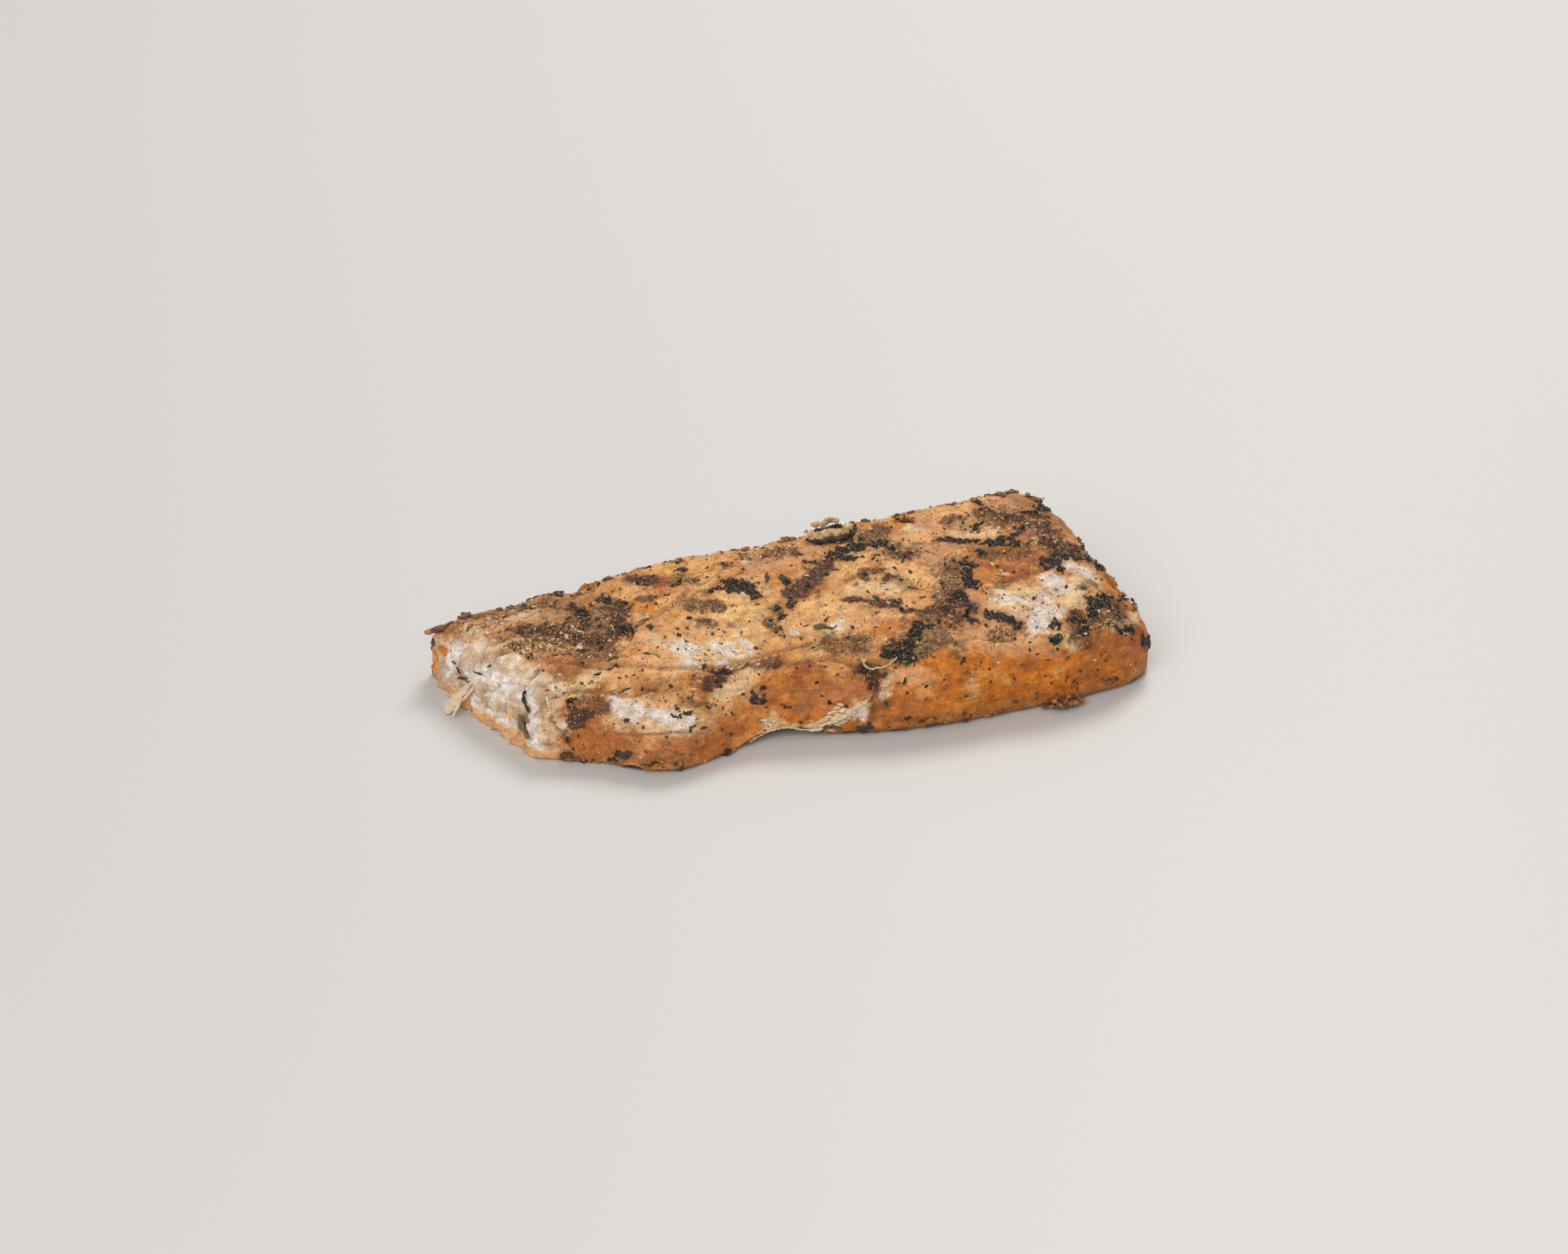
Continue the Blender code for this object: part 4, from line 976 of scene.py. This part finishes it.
def add_between(mesh, spot, first, last, half_width, half_height, lift=0.0):
    """Adds a shredded flake lying on the surface from one place to another."""
    (start, out1), (end, out2) = spot(first), spot(last)
    out = (out1 + out2).normalized()
    length = (end - start).length / 2
    count = 0
    for share in (0.5, 0.15, 0.38, 0.64, 0.88):
        middle = mix(start, end, share) + out * (lift + half_height * random.uniform(0.1, 0.6))
        sideways = out.cross(end - start).normalized() * random.uniform(-0.4, 0.4) * half_width
        tilt = (out + 0.25 * random_direction()).normalized()
        narrower = 1 - 0.5 * abs(2 * share - 1)
        part_length = length * (0.7 if share == 0.5 else random.uniform(0.35, 0.5))
        count += add_lump(mesh, middle + sideways, tilt, end - start + 0.5 * length * random_direction(),
                          (part_length, half_width * narrower * random.uniform(0.7, 1), half_height * 0.6),
                          detail=2 if half_width > 0.7 else 1, ragged=0.3)
    return count


def join(mesh, part):
    """Moves a small mesh into a large one."""
    data = bpy.data.meshes.new("part")
    part.to_mesh(data)
    part.free()
    mesh.from_mesh(data)
    bpy.data.meshes.remove(data)


def strew(mesh, spots, make):
    """Adds what make puts at each spot, in small batches for speed, and gives its counts of points."""
    counts = []
    spots = list(spots)
    for start in range(0, len(spots), BATCH):
        part = bmesh.new()
        counts += [make(part, at, out) for at, out in spots[start:start + BATCH]]
        join(mesh, part)
    return counts


def add_stem(mesh, centres, radius, sides=6, ragged=0.12):
    """Adds a thin stem through the centres, with tapered closed ends."""
    part = bmesh.new()
    last = len(centres) - 1
    rings = []
    for i, centre in enumerate(centres):
        way = centres[min(i + 1, last)] - centres[max(i - 1, 0)]
        turn = Matrix.Translation(centre) @ way.to_track_quat("Z", "Y").to_matrix().to_4x4()
        size = radius * (0.55 if i in (0, last) else random.uniform(0.9, 1.1))
        ring = bmesh.ops.create_circle(part, cap_ends=i in (0, last), segments=sides, radius=size,
                                       matrix=turn)["verts"]
        for vertex in ring:
            vertex.co += (vertex.co - centre) * random.uniform(-ragged, ragged)
        rings.append(ring)
    for ring, following in zip(rings, rings[1:]):
        members = set(ring) | set(following)
        edges = [e for e in part.edges if e.verts[0] in members and e.verts[1] in members]
        bmesh.ops.bridge_loops(part, edges=edges)
    bmesh.ops.recalc_face_normals(part, faces=part.faces)
    count = len(part.verts)
    join(mesh, part)
    return count


def along_surface(spot, places, height, step=0.8):
    """Points over the surface along a path of places, a step apart."""
    centres = []
    for first, last in zip(places, places[1:]):
        pieces = max(1, round(math.dist(first, last) / step))
        for i in range(pieces):
            place = [mix(a, b, i / pieces) for a, b in zip(first, last)]
            point, out = spot(place)
            centres.append(point + out * height)
    point, out = spot(places[-1])
    centres.append(point + out * height)
    return centres


def mix_places(spot, first, last, share):
    """A point just over the surface, a share of the way from one place to another."""
    point, out = spot((mix(first[0], last[0], share), mix(first[1], last[1], share)))
    return point + out * 0.2


def add_granules(mesh, centres, reach, height):
    """Adds a clump of granules within a reach of the centres."""
    part = bmesh.new()
    counts = []
    for centre in centres:
        for _ in range(6):
            size = reach * random.uniform(0.25, 0.6)
            away = Vector([random.gauss(0, 0.4) * reach, random.gauss(0, 0.4) * reach,
                           random.uniform(0, 0.7) * height])
            radii = (size * 1.4, size, size * 0.8)
            counts.append(add_lump(part, centre + away, UP, random_direction(), radii, ragged=0.35))
    join(mesh, part)
    return counts


def add_flat_flake(mesh, first, last, half_width):
    """Adds a thin ragged flake of crust from one point to another."""
    count = 0
    for share, reach in ((0.2, 0.24), (0.5, 0.42), (0.8, 0.24)):
        count += add_lump(mesh, mix(first, last, share), UP, last - first,
                          ((last - first).length * reach, half_width, 0.4), detail=3, ragged=0.16)
    return count


def scatter(body, weights, count):
    """Points picked at random from the body by weight, with the way out at each."""
    picker = np.random.default_rng(random.randrange(1 << 30))
    for i in picker.choice(len(weights), count, p=weights / weights.sum()).tolist():
        yield Vector(body["points"][i]), Vector(body["normals"][i])


def write_tints(piece, counts, choices, first=()):
    """Gives each small bit of a piece one of the tints, after those for the first bits."""
    tints = [*first, *(random.choice(choices) for _ in counts[len(first):])]
    write_attribute(piece, "Tint", "FLOAT", np.repeat(tints, counts))


def make_strewn(body, weights, count, make, name, look, tints):
    """Makes a piece of a count of small bits, strewn over the body by weight."""
    mesh = bmesh.new()
    counts = strew(mesh, scatter(body, weights, count), make)
    write_tints(finish(mesh, name, tinted_material(*look)), counts, tints)


def make_char_grains(body):
    """Small hard grains of char that stand on the blackest patches."""
    def grain(mesh, at, out):
        size = random.uniform(0.07, 0.2)
        return add_lump(mesh, at + out * size * 0.3, out, random_direction(),
                        (size * random.uniform(1, 1.5), size, size * random.uniform(0.7, 1.2)), ragged=0.35)

    weights = (body["Char"] ** 2 + 0.15 * body["Sear"]) * (body["points"][:, 2] > 1.5)
    tints = (0, 0, 0, 0.06, 0.1, 0.2, 0.2, 0.5, 1)
    make_strewn(body, weights, CHAR_GRAINS, grain, "char_grains", CHAR_LOOK, tints)


def make_spice(body):
    """Fine spice and browned granules on the sears, the dusty patches and between them."""
    def granule(mesh, at, out):
        size = random.uniform(0.07, 0.19)
        return add_lump(mesh, at + out * size * 0.2, out, random_direction(),
                        (size * random.uniform(1, 1.6), size, size * 0.8), ragged=0.35)

    weights = (0.12 + 1.2 * body["Dust"] + 0.9 * body["Sear"] - 0.1 * body["Side"]) * ~body["under"]
    weights = weights * np.where(body["Cut"] > 0.5, 0.2, 1) * (1 - 0.6 * body["Char"])
    tints = (0, 0.05, 0.1, 0.2, 0.35, 0.6, 0.9)
    make_strewn(body, weights, SPICE_GRANULES, granule, "spice", SPICE_LOOK, tints)


def make_pepper(body):
    """Specks of pepper over the whole fillet."""
    def speck(mesh, at, out):
        size = 0.08 + 0.26 * random.random() ** 3
        return add_lump(mesh, at + out * size * 0.1, out, random_direction(),
                        (size * random.uniform(1, 1.9), size, size * 0.55), ragged=0.4)

    weights = (1 + 1.8 * body["Dust"] - 0.6 * body["Side"]) * ~body["under"]
    weights = weights * np.where(body["cut_face"], 0.12, 1) * (1 - 0.8 * body["Char"])
    tints = (0, 0.1, 0.3, 0.5, 0.75, 1)
    make_strewn(body, weights, PEPPER_SPECKS, speck, "pepper", PEPPER_LOOK, tints)


def make_charred_leaves(spot, cut_spot):
    """Charred flakes of leaf, charred tips, and the char of the curl."""
    mesh = bmesh.new()
    for half_width, first, last in CHARRED_LEAVES:
        add_between(mesh, spot, first, last, half_width, 0.2 + 0.2 * half_width)
    for half_width, height, *places in CURL_CHAR:
        for centre in along_surface(spot, places, height, 0.4):
            add_lump(mesh, centre, UP, random_direction(), (1.2 * half_width, half_width, 0.5), detail=2,
                     ragged=0.3)
    for half_width, first, last in CUT_LEAVES:
        add_between(mesh, cut_spot, first, last, half_width, 0.3, lift=0.4)
    for half_width, half_height, first, last in CHARRED_TIPS:
        add_between(mesh, spot, first, last, half_width, half_height)
    for half_width, *place in END_TIP:
        add_granules(mesh, [Vector(place)], half_width, half_width)
    finish(mesh, "charred_leaves", crust_material(*CHARRED_LEAF_LOOK))


def make_green_leaves(body, spot, cut_spot):
    """Dried green and olive leaf, some placed and some strewn."""
    def fleck(mesh, at, out):
        length = random.uniform(0.3, 1.0)
        tilt = (out + 0.5 * random_direction()).normalized()
        return add_lump(mesh, at + out * 0.1, tilt, random_direction(),
                        (length, length * random.uniform(0.3, 0.6), 0.1), ragged=0.35, bend=0.1)

    mesh = bmesh.new()
    counts = [add_between(mesh, cut_spot, first, last, half_width, 0.3, lift=0.4)
              for half_width, first, last in CUT_OLIVE]
    counts += [add_between(mesh, spot, first, last, half_width, 0.2)
               for half_width, first, last in GREEN_LEAVES]
    weights = (0.2 + 2.4 * body["Dust"] - 0.2 * body["Side"]) * body["skin"]
    counts += strew(mesh, scatter(body, np.maximum(weights, 0), HERB_FLECKS), fleck)
    leaves = finish(mesh, "green_leaves", tinted_material(*DRIED_LEAF_LOOK))
    write_tints(leaves, counts, (0, 0.15, 0.3, 0.5, 1), first=(0.75, 0.3))


def make_stems(body, spot):
    """Pale straw-like stems."""
    mesh = bmesh.new()
    for radius, *places in STEMS:
        add_stem(mesh, along_surface(spot, places, 0.8 * radius + 0.12), radius)
    weights = (0.15 + 2.5 * body["Dust"]) * (1 - body["Side"]) * body["skin"]
    for at, out in scatter(body, weights, STRAY_STEMS):
        way = random_direction() * random.uniform(0.5, 1.2)
        way.z = 0
        middle = at + out * 0.25
        add_stem(mesh, [middle - way, middle + out * 0.12, middle + way], random.uniform(0.06, 0.11), sides=5)
    finish(mesh, "stems", crust_material(*STRAW_LOOK), smooth=True)


def make_pale_chips(body, spot):
    """Loose pale chips and shreds of flesh."""
    def fleck(mesh, at, out):
        length = random.uniform(0.2, 0.6)
        return add_lump(mesh, at + out * 0.06, out, random_direction(),
                        (length, length * random.uniform(0.4, 0.8), 0.14), ragged=0.4)

    mesh = bmesh.new()
    for half_width, first, last in PALE_CHIPS:
        add_between(mesh, spot, first, last, half_width, 0.35)
    weights = (1 + 0.7 * body["Dust"]) * (1 - 0.85 * body["Side"]) * body["skin"]
    strew(mesh, scatter(body, weights, PALE_FLECKS), fleck)
    finish(mesh, "pale_chips", crust_material(*PALE_CHIP_LOOK))


def make_loose_flesh(spot):
    """The flap and the shreds that hang from the left end, and strands of pale flesh."""
    mesh = bmesh.new()
    flap = [Vector(point) for point in FLAP]
    for i, (first, last) in enumerate(zip(flap, flap[1:])):
        add_lump(mesh, (first + last) / 2, Vector(FLAP_FACES), last - first,
                 (0.9 * (last - first).length, 0.7 + 0.35 * i, 0.35), detail=3, ragged=0.12)
    for half_width, *ends in SHREDS:
        first, last = map(Vector, ends)
        add_lump(mesh, (first + last) / 2, Vector(FLAP_FACES), last - first,
                 ((last - first).length / 2, half_width, 0.3), detail=2, ragged=0.2)
    for half_width, *places in STRANDS:
        centres = along_surface(spot, places, 0.05, 0.9)
        for centre, following in zip(centres, centres[1:]):
            add_lump(mesh, centre, UP + 0.3 * random_direction(), following - centre,
                     (0.8, half_width * random.uniform(0.6, 1), 0.3), detail=2, ragged=0.2)
    finish(mesh, "loose_flesh", crust_material(*PALE_FLESH_LOOK))


def make_crumbs(body, spot):
    """The lip over the cut end, and crumbs and chunks of crust along the rim and the foot."""
    def crumb(mesh, at, out):
        size = 0.15 + 0.5 * random.random() ** 1.6
        return add_lump(mesh, at + out * size * 0.2, out, random_direction(),
                        (size * 1.5, size, size * 0.7), ragged=0.45)

    mesh = bmesh.new()
    counts = [add_flat_flake(mesh, Vector(first), Vector(last), half_width)
              for half_width, first, last in LIP]
    for half_width, half_height, first, last in CRUMBS:
        centres = [mix_places(spot, first, last, share) for share in np.linspace(0, 1, 6)]
        counts += add_granules(mesh, centres, half_width, half_height)
    for half_width, *place in CHUNKS:
        counts += add_granules(mesh, [Vector(place)] * 3, half_width, half_width)
    far_rim = soft(abs(body["s"] - curve(FAR_SIDE, body["x"]) + 5) / 5)
    foot = soft(abs(body["points"][:, 2] - 0.8) / 1.6)
    clumps = np.clip(0.2 + 2 * roughen(body["points"], 4, 30), 0, 1)
    weights = (0.02 + far_rim + 1.2 * foot) * clumps * body["skin"]
    counts += strew(mesh, scatter(body, weights, RIM_CRUMBS), crumb)
    crumbs = finish(mesh, "crumbs", tinted_material(*CRUMB_LOOK))
    write_tints(crumbs, counts, (0, 0.15, 0.3, 0.5, 0.8), first=(0.75, 0.2, 0.8, 0.1, 0.6))


def make_curl(spot):
    """The thick curled strip of dried crust on the far rim."""
    mesh = bmesh.new()
    for radius, height, *places in CURL:
        centres = along_surface(spot, places, height, 0.35)
        add_stem(mesh, centres, 0.85 * radius, sides=14, ragged=0.1)
        for centre in centres:
            for _ in range(9):
                way = Vector([random.gauss(0, 1) for _ in range(3)]).normalized()
                size = random.uniform(0.16, 0.38)
                add_lump(mesh, centre + way * 0.85 * radius, way, random_direction(),
                         (size * 1.4, size, size * 0.6), ragged=0.3)
    finish(mesh, "curl", crust_material(*CURL_LOOK))


def node(tree, kind, inputs=None, **settings):
    """Adds a shader node with its settings, and links or sets its inputs."""
    made = tree.nodes.new("ShaderNode" + kind)
    for name, value in settings.items():
        setattr(made, name, value)
    for socket, value in (inputs or {}).items():
        connect(tree, value, made.inputs[socket])
    return made


def connect(tree, value, socket):
    """Links an output to a socket, or sets its colour or number."""
    if isinstance(value, bpy.types.NodeSocket):
        tree.links.new(value, socket)
    elif isinstance(value, tuple):
        socket.default_value = (*value[:3], 1)
    else:
        socket.default_value = value


def new_material(name):
    material = bpy.data.materials.new(name)
    material.use_nodes = True
    return material, material.node_tree, material.node_tree.nodes["Principled BSDF"]


def noise_value(tree, places, size, detail=2.0, roughness=0.5):
    """Noise with lumps of a size in millimetres."""
    made = node(tree, "TexNoise", {"Vector": places, "Scale": 1 / (size * MM), "Detail": detail,
                                   "Roughness": roughness})
    return made.outputs["Fac"]


def scaled(tree, value, low, high, new_low=0.0, new_high=1.0):
    """Maps a value from one range to another, and keeps it within that."""
    made = node(tree, "MapRange", {"Value": value, "From Min": low, "From Max": high,
                                   "To Min": new_low, "To Max": new_high})
    return made.outputs["Result"]


def maths(tree, operation, first, second=0.0, third=0.0):
    return node(tree, "Math", {0: first, 1: second, 2: third}, operation=operation).outputs[0]


def mixed(tree, share, first, second, blend="MIX"):
    return node(tree, "Mix", {0: share, 6: first, 7: second}, data_type="RGBA", blend_type=blend).outputs[2]


def shaded(tree, colour, grey):
    """Multiplies a colour by a grey value."""
    shade = node(tree, "CombineColor", {0: grey, 1: grey, 2: grey}).outputs[0]
    return mixed(tree, 1.0, colour, shade, "MULTIPLY")


def attribute(tree, name, output="Fac"):
    return node(tree, "Attribute", attribute_name=name).outputs[output]


def specks(tree, places, cell, radius, share):
    """Round-ish specks of a radius, one in a share of cells of a size, in millimetres."""
    bent = node(tree, "TexNoise", {"Vector": places, "Scale": 1 / (0.8 * cell * MM), "Detail": 2.0})
    shift = node(tree, "VectorMath", {0: bent.outputs["Color"], 3: 0.5 * cell * MM}, operation="SCALE")
    moved = node(tree, "VectorMath", {0: places, 1: shift.outputs[0]}, operation="ADD")
    cells = node(tree, "TexVoronoi", {"Vector": moved.outputs[0], "Scale": 1 / (cell * MM)})
    pick = node(tree, "SeparateColor", {0: cells.outputs["Color"]})
    inside = scaled(tree, cells.outputs["Distance"], radius / cell, 0.6 * radius / cell)
    chosen = maths(tree, "LESS_THAN", pick.outputs[0], share)
    return maths(tree, "MULTIPLY", inside, chosen), pick.outputs[1]


def fillet_material():
    """Cooked flesh and browned skin, with granular sears and char, fine spice dust, oil, and pale flecks
    painted as glints of oil.
    """
    material, tree, shader = new_material("Grilled fish")
    places = node(tree, "TexCoord").outputs["Object"]
    flesh = attribute(tree, "Flesh", "Color")
    char, sear = attribute(tree, "Char"), attribute(tree, "Sear")
    dust, side, cut = attribute(tree, "Dust"), attribute(tree, "Side"), attribute(tree, "Cut")

    mottle = noise_value(tree, places, 2.2, 5, 0.65)
    grain = noise_value(tree, places, 0.5, 3, 0.6)
    clumps = noise_value(tree, places, 1.2, 4, 0.7)

    colour = shaded(tree, flesh, scaled(tree, mottle, 0.3, 0.7, 0.64, 1.28))
    drawn = node(tree, "VectorMath", {0: places}, operation="MULTIPLY")
    drawn.inputs[1].default_value = (0.16, 1, 1)
    fibre = scaled(tree, noise_value(tree, drawn.outputs[0], 0.9, 3, 0.6), 0.3, 0.7, -0.22, 0.22)
    fibre = maths(tree, "MULTIPLY_ADD", fibre, maths(tree, "MULTIPLY_ADD", side, 0.2, 0.5), 1.0)
    colour = shaded(tree, colour, fibre)
    grit = scaled(tree, noise_value(tree, places, 0.28, 2, 0.6), 0.32, 0.68, 0.68, 1.3)
    colour = shaded(tree, colour, grit)
    colour = mixed(tree, scaled(tree, grain, 0.58, 0.75, 0, 0.35), colour, PALE_GRAIN)
    spice_level = maths(tree, "MULTIPLY_ADD", dust, 0.15, 0.34)
    spice = scaled(tree, maths(tree, "SUBTRACT", spice_level, grain), 0.0, 0.06, 0, 0.7)
    colour = mixed(tree, spice, colour, SPICE_DUST)
    not_cut = maths(tree, "MULTIPLY_ADD", cut, -0.8, 1.0)
    for cell, radius, share, dark, light in SPECKS:
        inside, pick = specks(tree, places, cell, radius, share)
        amount = maths(tree, "MULTIPLY", maths(tree, "MULTIPLY", inside, 0.85), not_cut)
        colour = mixed(tree, amount, colour, mixed(tree, pick, dark, light))

    ragged = maths(tree, "MULTIPLY_ADD", clumps, 1.0, -0.5)
    seared = scaled(tree, maths(tree, "ADD", sear, ragged), 0.22, 0.66, 0, 0.93)
    colour = mixed(tree, seared, colour, mixed(tree, scaled(tree, grain, 0.38, 0.62), *SEARED))
    charred = scaled(tree, maths(tree, "ADD", char, ragged), 0.4, 0.62, 0, 0.97)
    colour = mixed(tree, charred, colour, mixed(tree, scaled(tree, grain, 0.45, 0.7), *CHARRED))
    # Painted highlights: pale flecks that stand in for glints of oil, more of them on the dust and the sears.
    glints, _ = specks(tree, places, 0.6, 0.13, 0.3)
    grainy = maths(tree, "ADD", maths(tree, "MULTIPLY", dust, 0.7), maths(tree, "MULTIPLY", sear, 0.8))
    glints = maths(tree, "MULTIPLY", glints, maths(tree, "MULTIPLY_ADD", grainy, 0.5, 0.2))
    tree.links.new(mixed(tree, glints, colour, FINE_GLINT), shader.inputs["Base Color"])
    add_gloss_and_bumps(tree, shader, places, clumps, grain, charred, maths(tree, "MAXIMUM", side, cut))
    return material


def add_gloss_and_bumps(tree, shader, places, clumps, grain, charred, smooth):
    """Oily flesh with fine bumps, which are heavier on the char and calmer on the sides and the cut."""
    glisten = scaled(tree, noise_value(tree, places, 0.9, 3), 0.35, 0.65, 0.26, 0.6)
    tree.links.new(glisten, shader.inputs["Roughness"])
    gloss = {"IOR": 1.31, "Coat Weight": 0.08, "Coat Roughness": 0.18, "Subsurface Weight": 0.12,
             "Subsurface Radius": (1.0, 0.4, 0.2), "Subsurface Scale": 2 * MM}
    for name, value in gloss.items():
        shader.inputs[name].default_value = value

    bumps = maths(tree, "MULTIPLY_ADD", clumps, 0.9, maths(tree, "MULTIPLY", grain, 0.6))
    heavier = maths(tree, "MULTIPLY_ADD", charred, 1.0, 1.0)
    calmer = maths(tree, "MULTIPLY_ADD", smooth, -0.5, 1.0)
    height = maths(tree, "MULTIPLY", bumps, maths(tree, "MULTIPLY", heavier, calmer))
    bump = node(tree, "Bump", {"Height": height, "Strength": 1.0, "Distance": 0.5 * MM})
    tree.links.new(bump.outputs["Normal"], shader.inputs["Normal"])
    tree.links.new(bump.outputs["Normal"], shader.inputs["Coat Normal"])


def crust_material(name, dark, light, roughness):
    """Grainy crumbs whose colour runs between two colours over a few millimetres."""
    material, tree, shader = new_material(name)
    places = node(tree, "TexCoord").outputs["Object"]
    patch = scaled(tree, noise_value(tree, places, 1.6, 4, 0.7), 0.35, 0.65)
    tree.links.new(mixed(tree, patch, dark, light), shader.inputs["Base Color"])
    finish_grain(tree, shader, places, roughness)
    return material


def tinted_material(name, dark, light, roughness):
    """Small bits that each have their own tint between two colours."""
    material, tree, shader = new_material(name)
    places = node(tree, "TexCoord").outputs["Object"]
    colour = mixed(tree, attribute(tree, "Tint"), dark, light)
    colour = shaded(tree, colour, scaled(tree, noise_value(tree, places, 0.6, 2), 0.3, 0.7, 0.7, 1.3))
    tree.links.new(colour, shader.inputs["Base Color"])
    finish_grain(tree, shader, places, roughness)
    return material


def finish_grain(tree, shader, places, roughness):
    """Roughness and fine bumps of the small things."""
    shader.inputs["Roughness"].default_value = roughness
    shader.inputs["IOR"].default_value = 1.36
    bump = node(tree, "Bump", {"Height": noise_value(tree, places, 0.35, 3), "Strength": 0.6,
                               "Distance": 0.2 * MM})
    tree.links.new(bump.outputs["Normal"], shader.inputs["Normal"])


def set_camera():
    """Looks down at the near side, from a little left of square on."""
    turn, down = math.radians(VIEW_TURN), math.radians(VIEW_DOWN)
    ahead = Vector((math.sin(turn), math.cos(turn), 0))
    way = ahead * math.cos(down) - UP * math.sin(down)
    data = bpy.data.cameras.new("Camera")
    data.sensor_width = 36
    data.lens = LENS
    data.clip_end = 20
    camera = bpy.data.objects.new("Camera", data)
    camera.location = Vector(VIEW_AIM) - way * VIEW_DISTANCE
    camera.rotation_euler = way.to_track_quat("-Z", "Y").to_euler()
    bpy.context.scene.collection.objects.link(camera)
    bpy.context.scene.camera = camera


def add_light(name, place, size, power, colour):
    """A round lamp that points at the fillet."""
    data = bpy.data.lights.new(name, "AREA")
    data.shape = "DISK"
    data.size = size
    data.energy = power
    data.color = colour
    light = bpy.data.objects.new(name, data)
    light.location = place
    light.rotation_euler = (-Vector(place)).to_track_quat("-Z", "Y").to_euler()
    bpy.context.scene.collection.objects.link(light)


def set_stage():
    """The floor, the sky and the lights."""
    mesh = bmesh.new()
    bmesh.ops.create_grid(mesh, x_segments=1, y_segments=1, size=4)
    data = bpy.data.meshes.new("floor")
    mesh.to_mesh(data)
    mesh.free()
    floor = bpy.data.objects.new("floor", data)
    bpy.context.scene.collection.objects.link(floor)
    material, _, shader = new_material("Pale floor")
    shader.inputs["Base Color"].default_value = FLOOR_COLOUR
    shader.inputs["Roughness"].default_value = 0.5
    data.materials.append(material)
    world = bpy.data.worlds.new("Studio")
    world.use_nodes = True
    sky = world.node_tree.nodes["Background"]
    sky.inputs["Color"].default_value = SKY_COLOUR
    sky.inputs["Strength"].default_value = SKY_STRENGTH
    bpy.context.scene.world = world
    for light in LIGHTS:
        add_light(*light)
    bpy.context.scene.view_settings.view_transform = "Standard"


def main():
    random.seed(SEED)
    set_camera()
    body = make_fillet()
    spot = finder(body, body["x"], body["s"], body["skin"])
    cut_spot = finder(body, body["points"][:, 1], body["points"][:, 2], body["cut_face"])
    make_char_grains(body)
    make_spice(body)
    make_pepper(body)
    make_charred_leaves(spot, cut_spot)
    make_green_leaves(body, spot, cut_spot)
    make_stems(body, spot)
    make_pale_chips(body, spot)
    make_loose_flesh(spot)
    make_crumbs(body, spot)
    make_curl(spot)
    set_stage()


main()
